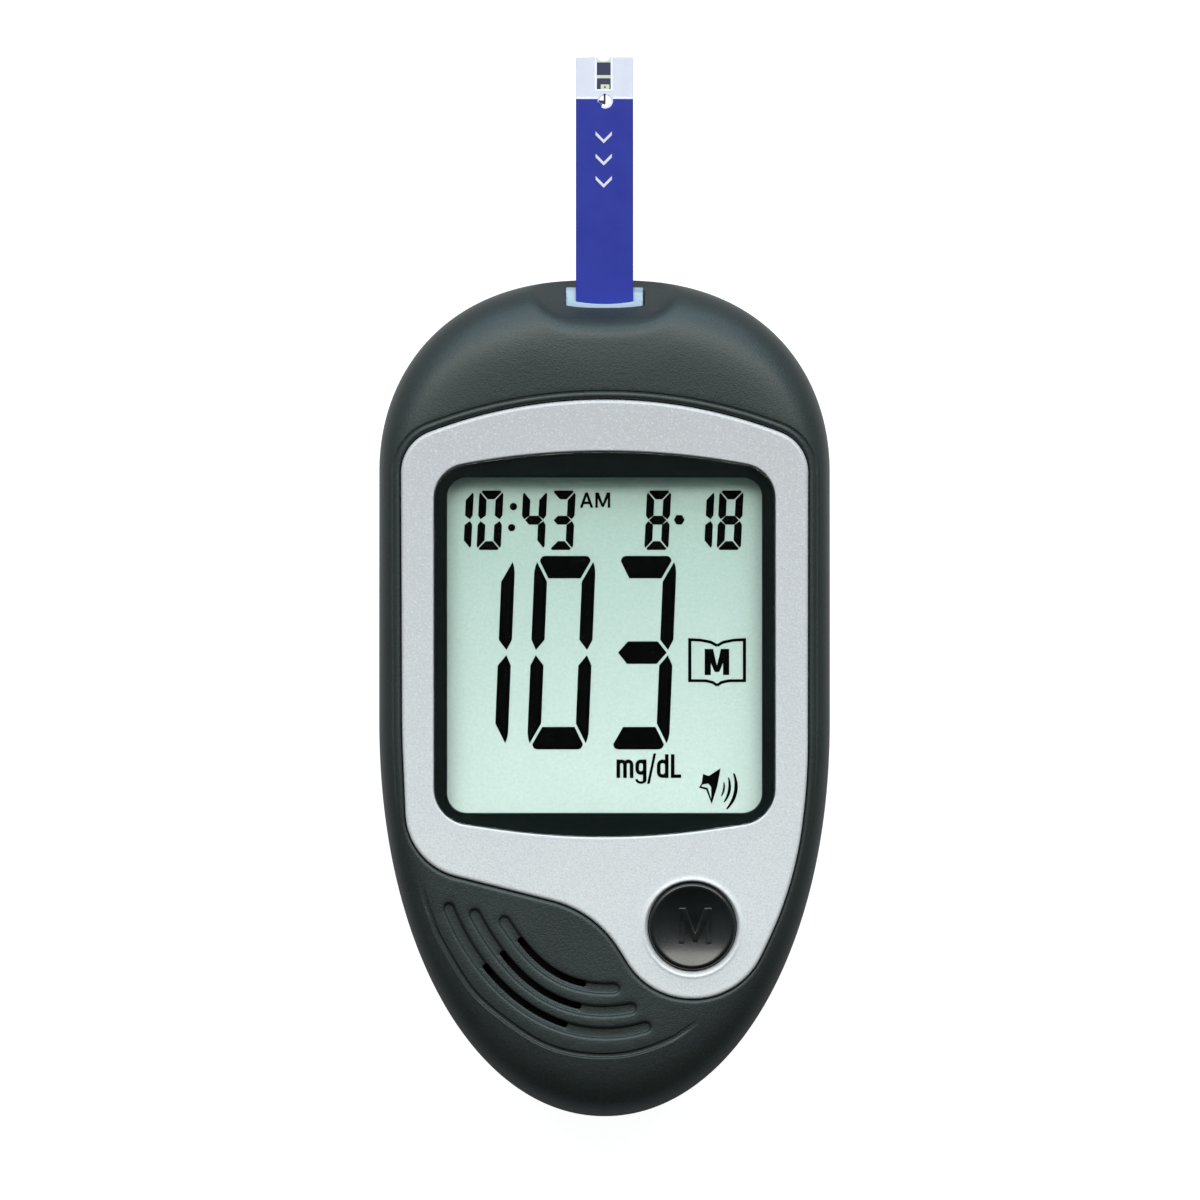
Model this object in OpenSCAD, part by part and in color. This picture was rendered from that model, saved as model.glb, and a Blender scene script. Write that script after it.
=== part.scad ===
// Blood glucose meter, in millimetres.
// The meter lies on its back: +Z is out of the display, +Y is towards the test strip.
// The origin is on the surface that it rests on, under the middle of the body.

/* [Body] */
// Length of the body from end to end
body_l = 98; // [96:1:120]
// Width of the body
body_w = 52.7; // [51:0.1:66]
// Height of the body from its back to its front
body_h = 22; // [21.6:0.1:27]
// Height at which the two halves of the case meet
split_z = 11.3; // [10.6:0.1:12]
// Thickness of the case at its sides
side_wall = 1.8; // [1.5:0.1:2.1]
// Thickness of the case behind the front
front_wall = 2.2; // [1.9:0.1:2.4]
// Thickness of the back
back_wall = 1.7; // [1.5:0.1:2]

/* [Outline] */
// Length of the blunt end, from the straight sides to the strip end
blunt_l = 22.5; // [20:0.5:27]
// Length of the tapering end
taper_l = 46.5; // [40:0.5:56]
// Squareness of the blunt end across the body
blunt_x_power = 2.5; // [2.2:0.05:2.8]
// Squareness of the blunt end along the body
blunt_y_power = 2.06; // [1.9:0.02:2.3]
// Squareness of the tapering end across the body
taper_x_power = 2.04; // [1.9:0.02:2.3]
// Squareness of the tapering end along the body
taper_y_power = 2.09; // [1.9:0.02:2.3]
// Share of the back that is flat
flat_share = 0.76; // [0.74:0.01:0.8]
// Share of the front that is flat
front_flat_share = 0.72; // [0.66:0.01:0.76]

/* [Faceplate] */
// Thickness of the faceplate and of the window
plate_t = 1.1; // [0.8:0.1:1.2]
// Strip of case beside the faceplate
plate_border = 2.65; // [2.2:0.05:4]
// Strip of case from the blunt end to the top of the faceplate
plate_top_gap = 10.5; // [10:0.1:13]

/* [Display] */
// Width of the part of the display that shows
display_w = 36.6; // [32:0.1:37.5]
// Height of the part of the display that shows
display_h = 39; // [34:0.1:40]
// Middle of the display along the body
display_y = 6.2; // [5:0.1:6.5]
// Black border of the window beside the display
window_border = 1.5; // [1.2:0.1:1.8]
// Thickness of the display glass
glass_t = 1.8; // [1.4:0.1:2]
// Height of the rubber connectors under the display glass
zebra_h = 1.7; // [1.5:0.1:1.9]

/* [Memory button] */
// Radius of the button
button_r = 5.1; // [4.5:0.1:5.6]
// Place of the button across the body
button_x = 10.2; // [9:0.1:11]
// Distance of the button from the tapering end
button_end_gap = 22.5; // [21:0.5:25]
// How far the button stands out of the front
button_proud = 0.35; // [0:0.05:0.6]
// Depth of the dish in the button's face
button_dish = 0.3; // [0:0.05:0.4]
// How far the button travels when it is pressed
button_travel = 0.7; // [0.4:0.05:0.8]
// How far the set button in the battery bay travels
set_travel = 0.5; // [0.3:0.05:0.5]

/* [Speaker] */
// Radius of the speaker
speaker_r = 8.4; // [7.5:0.1:8.8]
// Place of the speaker across the body
speaker_x = -7; // [-8:0.1:-6.6]
// Distance of the speaker from the tapering end
speaker_end_gap = 18; // [17:0.5:20]
// Width of the grooves over the speaker
groove_w = 1.5; // [1.2:0.1:1.7]
// Width of the slots that go through
slot_w = 1.1; // [0.8:0.1:1.3]

/* [Test strip] */
// Width of the strip
strip_w = 6.7; // [5:0.1:7.2]
// Thickness of the strip
strip_t = 0.4; // [0.3:0.05:0.5]
// Length of the strip
strip_l = 36.8; // [32:0.1:40]
// Length of the strip inside the meter
strip_in = 10.9; // [10.6:0.1:11.4]
// Width of the pale insert round the strip
port_w = 9; // [8.8:0.1:9.6]

/* [Battery bay] */
// Diameter of a cell
cell_d = 10.5; // [9.8:0.1:10.7]
// Length of a cell
cell_l = 44.5; // [43:0.1:45]
// Height of the bay's ceiling over the rest surface
bay_ceiling_z = 12.7; // [12.65:0.05:13]
// Thickness of the battery cover
cover_t = 1.5; // [1.2:0.1:1.6]

/* [Board] */
// Thickness of the circuit board
board_t = 1; // [0.8:0.1:1.2]
// Share of the body's outline that the board fills
board_share = 0.86; // [0.82:0.01:0.86]

/* [Fits] */
// Gap round parts that drop into a recess
drop_gap = 0.12; // [0.08:0.01:0.2]
// Gap between parts that rest on each other
seat_gap = 0.05; // [0.03:0.01:0.08]
// Radial gap of a pin or shaft in its hole
run_gap = 0.06; // [0.04:0.01:0.09]
// Gap round the buttons and the strip
slide_gap = 0.15; // [0.12:0.01:0.25]

/* [Hidden] */
$fn = 48;
eps = 0.01;

// the outline's landmarks
half_w = body_w / 2;
half_l = body_l / 2;
top_end = half_l;
bottom_end = -half_l;
blunt_y = top_end - blunt_l;
taper_y = bottom_end + taper_l;

// heights of the stack, from the back up
ledge_z = cover_t + 0.1;
cell_z = bay_ceiling_z - 0.2 - cell_d / 2;
board_z = bay_ceiling_z + 1.2;
board_top = board_z + board_t;
glass_z = board_top + zebra_h;
glass_top = glass_z + glass_t;

// the battery bay
cell_pitch = cell_d + 0.7;
bay_half = cell_pitch / 2 + cell_d / 2 + 0.65;
bay_low = -21.5;
plate_metal = 0.4;
spring_l = 4.4;
bay_high = bay_low + 2 * (plate_metal + 0.1) + spring_l + cell_l + 0.1;
bay_wall = 1;
bay_roof = 0.8;
well_low = bay_high + 1.1;
well_high = well_low + 4.8;
well_floor_z = 5;
well_floor_t = 0.9;
cover_half = bay_half + 1.1;
cover_high = well_high + 0.8;
hinge_z = 2.6;
hinge_y = bay_low - 3.9;
hinge_relief_r = 3.1;
hinge_pin_r = 0.8;
hinge_pin_l = 1.3;
cover_low = hinge_y - 1;
tab_half = 3.4;

// the strip's way into the meter
strip_z = board_top + 1.1;
port_face_y = top_end - 2.85;
port_tray_y = top_end - 1;
port_back_y = top_end - 6;
port_lip_t = 0.9;
port_block_half = port_w / 2 + 7;
port_slot_h = strip_t + 2 * slide_gap + 0.05;
port_top = strip_z + 1.9;
strip_end_y = port_face_y + 2.85 - strip_in;
connector_y = strip_end_y - 5.7;
connector_l = 10.1;
connector_w = strip_w + 4.9;
connector_h = 2.7;
contact_pitch = 1.8;
contact_w = 0.8;

// the scoop over the port
scoop_r = 34;
scoop_start_y = top_end - 6.8;
scoop_port_y = top_end - 3.4;

// the memory button and what is under it
button_y = bottom_end + button_end_gap;
button_flange_r = button_r + 0.9;
button_seat_z = body_h - front_wall;
button_flange_t = 0.6;
button_round = 0.5;
switch_w = 6;
switch_h = 2.4;
plunger_r = 1.7;
plunger_up = button_travel + 0.1;
plunger_in = 0.5;

// the set button under the board
set_x = 6;
set_y = (well_low + well_high) / 2;
set_r = 1.7;
set_switch_w = 4.5;
set_switch_h = 3;
set_plunger_r = 1;
set_plunger_up = set_travel + 0.3;
set_tip_z = well_floor_z - 0.7;

// the speaker
speaker_y = bottom_end + speaker_end_gap;
speaker_seat_z = body_h - front_wall - 0.2;
mesh_t = 0.2;
gasket_t = 0.5;
speaker_h = 1.6;

// the screws
screw_places = [
    [half_w - 8.85, top_end - 15.5], [8.85 - half_w, top_end - 15.5],
    [half_w - 8.75, bottom_end + 28.5], [8.75 - half_w, bottom_end + 28.5]
];
screw_head_r = 2.1;
screw_seat_z = 7;
screw_shank_r = 1.1;
screw_l = 9;
boss_r = 2.7;
rear_boss_r = screw_head_r + 1.3;
board_screw_places = [[10.5, top_end - 11.3], [-10.5, top_end - 11.3], [4, bottom_end + 13.5]];
board_screw_r = 0.75;
post_r = 2;

// the data port, in the left side
port_y = 7;
data_w = 7.7;
data_h = 3.9;
data_l = 9;
data_x = -half_w + 0.9;
data_wall = 0.4;

// ---- shape functions ----

// Points of one quarter of the outline: the blunt end, then the tapering end, on the right
blunt_steps = 14;
taper_steps = 18;
side_steps = 3;
function blunt_point(t) = [
    half_w * pow(cos(t), 2 / blunt_x_power),
    blunt_y + blunt_l * pow(sin(t), 2 / blunt_y_power)
];
function taper_point(t) = [
    half_w * pow(cos(t), 2 / taper_x_power),
    taper_y - taper_l * pow(sin(t), 2 / taper_y_power)
];
function side_point(s) = [half_w, taper_y + (blunt_y - taper_y) * s];
right_half = [
    for (i = [0 : taper_steps]) taper_point(90 - 90 * i / taper_steps),
    for (i = [1 : side_steps - 1]) side_point(i / side_steps),
    for (i = [0 : blunt_steps]) blunt_point(90 * i / blunt_steps)
];
half_count = len(right_half);
outline = concat(
    right_half,
    [for (i = [half_count - 2 : -1 : 1]) [-right_half[i][0], right_half[i][1]]]
);

// The outline moved inwards by a distance, about the same all round
function inset(p, d) = [p[0] * (1 - d / half_w), p[1] * (1 - d / half_l)];
inner_outline = [for (p = outline) inset(p, side_wall)];

// How far a ring is from the flat middle, 0, to the rim, 1
function past_flat(k, flat) = k <= flat ? 0 : (k - flat) / (1 - flat);

// The front's edge: tight along the sides, softer at the ends
function end_weight(p) = pow(p[1] / half_l, 2);
function edge_power(p) = 5.2 - 1.4 * end_weight(p);
function fall_power(p) = 6 - 2 * end_weight(p);
function front_roll(k, p) =
    k < 1 ? pow(1 - pow(past_flat(k, front_flat_share), edge_power(p)), 1 / fall_power(p)) : 0;

// The back: flat in the middle, then a curve up to the line where the halves meet
back_power = 2.1;
function back_roll(k) = 1 - pow(1 - pow(past_flat(k, flat_share), back_power), 1 / back_power);

function front_point(p, k, wall) = [
    k * p[0],
    k * p[1],
    split_z + (body_h - wall - split_z) * front_roll(k, p)
];
function back_point(p, k, wall) = [k * p[0], k * p[1], wall + (split_z - wall) * back_roll(k)];

front_rings = [1, 0.996, 0.985, 0.965, 0.94, 0.9, 0.85, 0.79, front_flat_share];
front_inner_rings = [1, 0.98, 0.94, 0.88, 0.81, front_flat_share];
back_rings = [flat_share, 0.8, 0.85, 0.9, 0.94, 0.97, 0.99, 0.998, 1];
back_inner_rings = [flat_share, 0.86, 0.93, 0.98, 1];

// A closed solid through rings of points, from the lowest ring to the highest
module loft(rings) {
    n = len(rings[0]);
    last = len(rings) - 1;
    polyhedron(
        points = [for (ring = rings) each ring],
        faces = concat(
            [[for (i = [0 : n - 1]) i]],
            [for (r = [0 : last - 1], i = [0 : n - 1]) each [
                [r * n + i, (r + 1) * n + i, r * n + (i + 1) % n],
                [r * n + (i + 1) % n, (r + 1) * n + i, (r + 1) * n + (i + 1) % n]
            ]],
            [[for (i = [n - 1 : -1 : 0]) last * n + i]]
        ),
        convexity = 10
    );
}

function front_ring(points, k, wall) = [for (p = points) front_point(p, k, wall)];
function back_ring(points, k, wall) = [for (p = points) back_point(p, k, wall)];
function level_ring(points, z) = [for (p = points) [p[0], p[1], z]];

// Each half is a solid dome less its cavity, which runs on past the rim
module front_dome() {
    loft([for (k = front_rings) front_ring(outline, k, 0)]);
}

module front_cavity() {
    loft(concat(
        [level_ring(inner_outline, split_z - 1)],
        [for (k = front_inner_rings) front_ring(inner_outline, k, front_wall)]
    ));
}

module rear_dish() {
    loft([for (k = back_rings) back_ring(outline, k, 0)]);
}

module rear_cavity() {
    loft(concat(
        [for (k = back_inner_rings) back_ring(inner_outline, k, back_wall)],
        [level_ring(inner_outline, split_z + 1)]
    ));
}

// One corner of an outline, rounded to a radius
corner_steps = 8;
function unit(v) = v / norm(v);
function corner(p, c, q, r) =
    let (
        u = unit(p - c),
        v = unit(q - c),
        half = acos(u * v) / 2,
        centre = c + unit(u + v) * (r / sin(half)),
        start = c + u * (r / tan(half)) - centre,
        end = c + v * (r / tan(half)) - centre,
        turn = (180 - 2 * half) * sign(start[0] * end[1] - start[1] * end[0])
    )
    [for (i = [0 : corner_steps])
        let (t = turn * i / corner_steps)
        centre + [
            start[0] * cos(t) - start[1] * sin(t),
            start[0] * sin(t) + start[1] * cos(t)
        ]
    ];
function corner_place(v) = [v[0], v[1]];
function rounded(corners) =
    let (n = len(corners))
    [for (i = [0 : n - 1]) each corner(
        corner_place(corners[(i + n - 1) % n]),
        corner_place(corners[i]),
        corner_place(corners[(i + 1) % n]),
        corners[i][2]
    )];

// The faceplate's outline: corner places and the radius of each
plate_side = half_w - plate_border;
// The gentle bend beside the button takes the same length of each side it joins
side_bend_reach = 7.49;
side_bend_turn = atan2(12.4, 1.45) - atan2(13.8, plate_side - 17.1);
side_bend_r = side_bend_reach / tan(side_bend_turn / 2);
function plate_corners(gap) = [
    [0, top_end - plate_top_gap + gap, 57],
    [-plate_side - gap, top_end - 19.2 + gap, 5.1],
    [-plate_side - gap + 0.15, bottom_end + 44.6, 90],
    [-plate_side - gap + 0.8, bottom_end + 29.7 - gap, 7.8],
    [-1.1 - gap, bottom_end + 24.2 - gap, 12.8],
    [5.1 - gap, bottom_end + 14.4 - gap, 8.7],
    [15.6 + gap, bottom_end + 13.6 - gap, 8.7],
    [plate_side - 1.5 + gap, bottom_end + 27.4, side_bend_r],
    [plate_side - 0.05 + gap, bottom_end + 39.8, 70],
    [plate_side + gap, top_end - 19.2 + gap, 5]
];

// The window's outline: straight sides, and a top and bottom that bow out
window_side = display_w / 2 + window_border;
window_top = display_y + display_h / 2 + 0.9;
window_bottom = display_y - display_h / 2 - 0.8;
function window_corners(gap) = [
    [0, window_top + 3.5 + gap, 90],
    [-window_side - gap, window_top + gap, 4],
    [-window_side - gap, window_bottom - gap, 4.2],
    [0, window_bottom - 2.9 - gap, 87],
    [window_side + gap, window_bottom - gap, 4.2],
    [window_side + gap, window_top + gap, 4]
];

// The battery cover's outline: square at the hinge, rounded at the tab
function cover_corners(gap) = [
    [-cover_half - gap, cover_high + gap, 2],
    [-cover_half - gap, cover_low, 0.4],
    [cover_half + gap, cover_low, 0.4],
    [cover_half + gap, cover_high + gap, 2]
];

module rounded_plate(corners, low, high) {
    translate([0, 0, low]) {
        linear_extrude(high - low) polygon(rounded(corners));
    }
}

module rounded_box(w, h, r, low, high) {
    corners = [[-w / 2, h / 2, r], [-w / 2, -h / 2, r], [w / 2, -h / 2, r], [w / 2, h / 2, r]];
    rounded_plate(corners, low, high);
}

module box_between(low, high) {
    translate(low) cube(high - low);
}

module tube(outer_r, inner_r, h) {
    difference() {
        cylinder(r = outer_r, h = h);
        translate([0, 0, -1]) cylinder(r = inner_r, h = h + 2);
    }
}

module at(places) {
    for (p = places) {
        translate([p[0], p[1], 0]) children();
    }
}

module mirror_copy() {
    children();
    mirror([1, 0, 0]) children();
}

// A solid slab of the body's outline, shrunk to a share of its size
module outline_slab(share, low, high) {
    translate([0, 0, low]) {
        linear_extrude(high - low) polygon([for (p = outline) share * p]);
    }
}

// ---- the speaker's grooves and slots ----

// Each groove runs on a curve with four control points, from the side round to the bottom.
// A point is its place across the body and its distance from the tapering end.
grooves = [
    [[-18, 25.2], [-15.8, 16.4], [-6.2, 7.2], [5.3, 11.2]],
    [[-15, 24.4], [-12.4, 17.8], [-6.2, 10.6], [3.6, 13.3]],
    [[-11.5, 23.5], [-9.2, 19.6], [-6.2, 14.6], [1.6, 15.3]]
];
// Where the slot in each groove starts and ends, as shares of the groove
slot_shares = [[0.26, 0.64], [0.24, 0.66], [0.2, 0.72]];
groove_depth = 0.6;
function bezier(c, t) =
    pow(1 - t, 3) * c[0] + 3 * pow(1 - t, 2) * t * c[1] + 3 * (1 - t) * t * t * c[2] + pow(t, 3) * c[3];
function bezier_slope(c, t) =
    pow(1 - t, 2) * (c[1] - c[0]) + 2 * (1 - t) * t * (c[2] - c[1]) + t * t * (c[3] - c[2]);
function bezier_side(c, t, d) = let (s = unit(bezier_slope(c, t))) bezier(c, t) + d * [s[1], -s[0]];
groove_steps = 10;
module groove_outline(c, from, to, w) {
    shares = [for (i = [0 : groove_steps]) from + (to - from) * i / groove_steps];
    right = [for (t = shares) bezier_side(c, t, w / 2)];
    left = [for (i = [groove_steps : -1 : 0]) bezier_side(c, shares[i], -w / 2)];
    polygon(concat(right, left));
    translate(bezier(c, from)) circle(d = w, $fn = 24);
    translate(bezier(c, to)) circle(d = w, $fn = 24);
}
function from_end(c) = [for (p = c) [p[0], bottom_end + p[1]]];

module speaker_grooves() {
    for (c = grooves) {
        translate([0, 0, body_h - groove_depth]) {
            linear_extrude(2) groove_outline(from_end(c), 0, 1, groove_w);
        }
    }
}

module speaker_slots() {
    for (i = [0 : len(grooves) - 1]) {
        translate([0, 0, split_z + 4]) {
            linear_extrude(body_h) {
                groove_outline(from_end(grooves[i]), slot_shares[i][0], slot_shares[i][1], slot_w);
            }
        }
    }
}

// ---- the case ----

scoop_start_z = front_point([0, half_l], scoop_start_y / half_l, 0)[2];
scoop_tilt = atan((scoop_start_z - port_top) / (scoop_port_y - scoop_start_y));

module scoop() {
    translate([0, scoop_start_y, scoop_start_z]) {
        rotate([-scoop_tilt, 0, 0]) {
            translate([0, -1, scoop_r]) rotate([-90, 0, 0]) cylinder(r = scoop_r, h = 20, $fn = 180);
        }
    }
}

module port_pocket(gap) {
    // the way through the wall, then the wider room for the insert's flange
    box_between(
        [-port_w / 2 - gap, port_back_y, strip_z - slide_gap - port_lip_t - gap],
        [port_w / 2 + gap, port_tray_y + gap, port_top + gap]
    );
    box_between(
        [-port_w / 2 - 1.4 - gap, port_back_y - 3, strip_z - 2.2],
        [port_w / 2 + 1.4 + gap, port_back_y + 1 + gap, port_top + 0.5 + gap]
    );
    // the notch that the strip passes over
    box_between(
        [-port_w / 2 - gap, port_tray_y - 1, strip_z - slide_gap - 0.3],
        [port_w / 2 + gap, top_end + 2, port_top + 3]
    );
}

module data_port_opening(gap) {
    box_between(
        [-half_w - 2, port_y - data_w / 2 - gap, board_z - data_h - gap],
        [data_x + data_l, port_y + data_w / 2 + gap, board_z + gap]
    );
}

module front_case() color([0.2, 0.2, 0.19]) {
    difference() {
        union() {
            difference() {
                front_dome();
                difference() {
                    front_cavity();
                    // the solid end that the scoop and the port are cut into
                    box_between([-port_block_half, scoop_start_y, strip_z - 2.4],
                        [port_block_half, top_end + 2, body_h]);
                }
            }
            at(screw_places) {
                translate([0, 0, split_z + 0.1]) {
                    cylinder(r = boss_r, h = body_h - front_wall + 0.5 - split_z);
                }
            }
            // the wall round the speaker
            translate([speaker_x, speaker_y, speaker_seat_z - 2.2]) {
                tube(speaker_r + 1.1, speaker_r + 0.3, 2.8);
            }
        }
        // the recess for the faceplate and the window
        rounded_plate(plate_corners(drop_gap), body_h - plate_t - seat_gap, body_h + 2);
        translate([0, display_y, 0]) rounded_box(display_w, display_h, 2.4, split_z + 3, body_h + 2);
        translate([button_x, button_y, split_z + 4]) cylinder(r = button_r + slide_gap, h = body_h);
        // room for the button's flange
        translate([button_x, button_y, split_z + 3]) {
            cylinder(r = button_flange_r + 0.3, h = button_seat_z - 0.02 - split_z - 3);
        }
        // the flat seat of the speaker
        translate([speaker_x, speaker_y, split_z + 3]) {
            cylinder(r = speaker_r + 0.3, h = speaker_seat_z - split_z - 3);
        }
        speaker_grooves();
        speaker_slots();
        scoop();
        port_pocket(drop_gap);
        data_port_opening(0.2);
        at(screw_places) translate([0, 0, split_z - 1]) cylinder(r = screw_shank_r + run_gap, h = 7.5);
    }
}

module hinge_well(gap) {
    translate([-cover_half - hinge_pin_l - gap, hinge_y, hinge_z]) {
        rotate([0, 90, 0]) cylinder(r = hinge_pin_r + run_gap, h = 2 * (cover_half + hinge_pin_l + gap));
    }
    intersection() {
        translate([-cover_half - gap, hinge_y, hinge_z]) {
            rotate([0, 90, 0]) cylinder(r = hinge_relief_r, h = 2 * (cover_half + gap));
        }
        box_between([-30, hinge_y - 5, -3], [30, bay_low - bay_wall, 8]);
    }
}

module rear_case() color([0.2, 0.2, 0.19]) {
    difference() {
        union() {
            difference() {
                rear_dish();
                difference() {
                    rear_cavity();
                    at(screw_places) cylinder(r = rear_boss_r, h = split_z + 2);
                }
            }
            // walls of the bay, of the well with the set button and of the hinge
            box_between([-bay_half - bay_wall - 1.2, bay_low - bay_wall, 0.5],
                [bay_half + bay_wall + 1.2, bay_high + bay_wall, bay_ceiling_z + bay_roof]);
            box_between([-cover_half - 0.9, bay_high, 0.5],
                [cover_half + 0.9, cover_high + 1.8, well_floor_z + well_floor_t]);
            box_between([-cover_half - hinge_pin_l - 1, hinge_y - hinge_relief_r - 0.9, 0.5],
                [cover_half + hinge_pin_l + 1, bay_low, hinge_z + hinge_relief_r + 0.9]);
            at(board_screw_places) {
                translate([0, 0, back_wall - 0.4]) {
                    cylinder(r = post_r, h = board_z - seat_gap - back_wall + 0.4);
                }
            }
            // the lip that locates the front half
            difference() {
                outline_slab(1 - (side_wall + 0.15) / half_w, split_z - 2, split_z + 1);
                outline_slab(1 - (side_wall + 0.9) / half_w, split_z - 3, split_z + 2);
            }
        }
        // the bay and the well
        box_between([-bay_half, bay_low, -1], [bay_half, bay_high, bay_ceiling_z]);
        box_between([-bay_half, well_low, -1], [bay_half, well_high, well_floor_z]);
        // the seat of the cover, and the catch that its tab snaps into
        rounded_plate(cover_corners(drop_gap), -1, ledge_z);
        box_between([-tab_half - 0.5, well_high - 0.7, ledge_z - eps],
            [tab_half + 0.5, cover_high + 1.1, ledge_z + 1.1]);
        hinge_well(drop_gap);
        // slots for the solder tabs
        for (s = [-1, 1]) {
            box_between([s * cell_pitch / 2 - 1.3, bay_high - 0.75, bay_ceiling_z - 1],
                [s * cell_pitch / 2 + 1.3, bay_high - 0.02, bay_ceiling_z + 3]);
        }
        // holes for the set button and the screws
        translate([set_x, set_y, 0]) cylinder(r = set_r + slide_gap, h = well_floor_z + 3);
        at(screw_places) {
            translate([0, 0, -1]) cylinder(r = screw_shank_r + 0.3, h = split_z + 3);
            translate([0, 0, -1]) cylinder(r = screw_head_r + 0.4, h = screw_seat_z + 1);
        }
        at(board_screw_places) translate([0, 0, 5]) cylinder(r = board_screw_r + run_gap, h = 12);
        data_port_opening(0.2);
        // the screw bosses of the front half pass the lip
        at(screw_places) translate([0, 0, split_z]) cylinder(r = boss_r + 0.3, h = 3);
    }
}

module faceplate() color([0.79, 0.79, 0.82]) {
    difference() {
        rounded_plate(plate_corners(0), body_h - plate_t, body_h);
        rounded_plate(window_corners(drop_gap), body_h - 3, body_h + 3);
        translate([button_x, button_y, body_h - 3]) cylinder(r = button_r + slide_gap + 0.1, h = 6);
        // the chamfer round the button
        translate([button_x, button_y, body_h - 0.5]) {
            cylinder(r1 = button_r + 0.15, r2 = button_r + 1.15, h = 1);
        }
    }
}

module display_window() color([0.09, 0.11, 0.11]) {
    rounded_plate(window_corners(0), body_h - plate_t, body_h - 0.05);
}

// ---- the memory button and its switch ----

module memory_button() color([0.12, 0.12, 0.12]) {
    face_z = body_h + button_proud;
    flange_z = button_seat_z - 0.1 - button_flange_t;
    stem_z = board_top + switch_h + plunger_up + seat_gap;
    // the rim is rounded, and the face inside it is dished
    translate([button_x, button_y, 0]) {
        rotate_extrude($fn = 72) {
            polygon([
                [0, stem_z],
                [plunger_r + 0.3, stem_z],
                [plunger_r + 0.3, flange_z],
                [button_flange_r, flange_z],
                [button_flange_r, flange_z + button_flange_t],
                [button_r, flange_z + button_flange_t],
                for (i = [0 : 5]) [
                    button_r - button_round * (1 - cos(18 * i)),
                    face_z - button_round * (1 - sin(18 * i))
                ],
                [button_r * 0.5, face_z - button_dish * 0.75],
                [0, face_z - button_dish]
            ]);
        }
    }
}

module switch_body(w, h, bore_r, bore_depth) {
    difference() {
        translate([-w / 2, -w / 2, 0]) cube([w, w, h]);
        translate([0, 0, h - bore_depth]) cylinder(r = bore_r, h = bore_depth + 1);
    }
    // four solder legs
    for (x = [-1, 1], y = [-1, 1]) {
        box_between([x * (w / 2 + 0.4) - 0.5, y * (w / 2 - 1) - 0.35, 0],
            [x * (w / 2 + 0.4) + 0.5, y * (w / 2 - 1) + 0.35, 0.25]);
    }
}

module memory_switch() color([0.25, 0.25, 0.27]) {
    translate([button_x, button_y, board_top + 0.01]) {
        switch_body(switch_w, switch_h, plunger_r + 0.1, plunger_in + button_travel + 0.4);
    }
}

module memory_plunger() color([0.85, 0.83, 0.78]) {
    translate([button_x, button_y, board_top + switch_h - plunger_in]) {
        cylinder(r = plunger_r, h = plunger_up + plunger_in);
    }
}

// ---- the set button and its switch ----

module set_button() color([0.55, 0.56, 0.58]) {
    stem_z = board_z - set_switch_h - set_plunger_up - seat_gap;
    flange_z = well_floor_z + well_floor_t + 0.1;
    translate([set_x, set_y, 0]) {
        rotate_extrude() {
            polygon([
                [0, set_tip_z],
                [set_r - 0.3, set_tip_z],
                [set_r, set_tip_z + 0.3],
                [set_r, flange_z],
                [set_r + 0.7, flange_z],
                [set_r + 0.7, flange_z + 0.7],
                [set_r - 0.5, flange_z + 0.7],
                [set_r - 0.5, stem_z],
                [0, stem_z]
            ]);
        }
    }
}

module set_switch() color([0.25, 0.25, 0.27]) {
    translate([set_x, set_y, board_z - 0.01]) {
        mirror([0, 0, 1]) {
            switch_body(set_switch_w, set_switch_h, set_plunger_r + 0.1, plunger_in + set_travel + 0.5);
        }
    }
}

module set_plunger() color([0.85, 0.83, 0.78]) {
    translate([set_x, set_y, board_z - set_switch_h - set_plunger_up]) {
        cylinder(r = set_plunger_r, h = set_plunger_up + plunger_in);
    }
}

// ---- the strip, its port and its connector ----

module strip_port() color([0.72, 0.84, 0.91]) {
    lip_z = strip_z - slide_gap - port_lip_t;
    difference() {
        union() {
            // the collar, with the tray in front of it
            box_between([-port_w / 2, port_back_y, lip_z], [port_w / 2, port_face_y, port_top]);
            box_between([-port_w / 2, port_back_y, lip_z], [port_w / 2, port_tray_y, strip_z - slide_gap]);
            // the flange inside the wall
            box_between([-port_w / 2 - 1.3, port_back_y - 0.1, lip_z - 0.3],
                [port_w / 2 + 1.3, port_back_y + 0.9, port_top + 0.4]);
        }
        box_between([-strip_w / 2 - 0.25, port_back_y - 2, strip_z - slide_gap],
            [strip_w / 2 + 0.25, port_face_y + 1, strip_z - slide_gap + port_slot_h]);
    }
}

module test_strip() color([0.2, 0.24, 0.6]) {
    box_between([-strip_w / 2, strip_end_y, strip_z],
        [strip_w / 2, strip_end_y + strip_l, strip_z + strip_t]);
}

module strip_connector() color([0.9, 0.88, 0.8]) {
    difference() {
        translate([-connector_w / 2, connector_y, board_top + 0.01]) {
            cube([connector_w, connector_l, connector_h]);
        }
        box_between([-strip_w / 2 - 0.15, strip_end_y - 0.3, strip_z - 0.1],
            [strip_w / 2 + 0.15, connector_y + connector_l + 1, strip_z + strip_t + 0.15]);
        for (i = [-1, 0, 1]) {
            box_between([i * contact_pitch - contact_w / 2 - 0.12, connector_y - 1, board_top + 0.3],
                [i * contact_pitch + contact_w / 2 + 0.12, connector_y + connector_l - 0.9, strip_z]);
        }
    }
}

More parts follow.
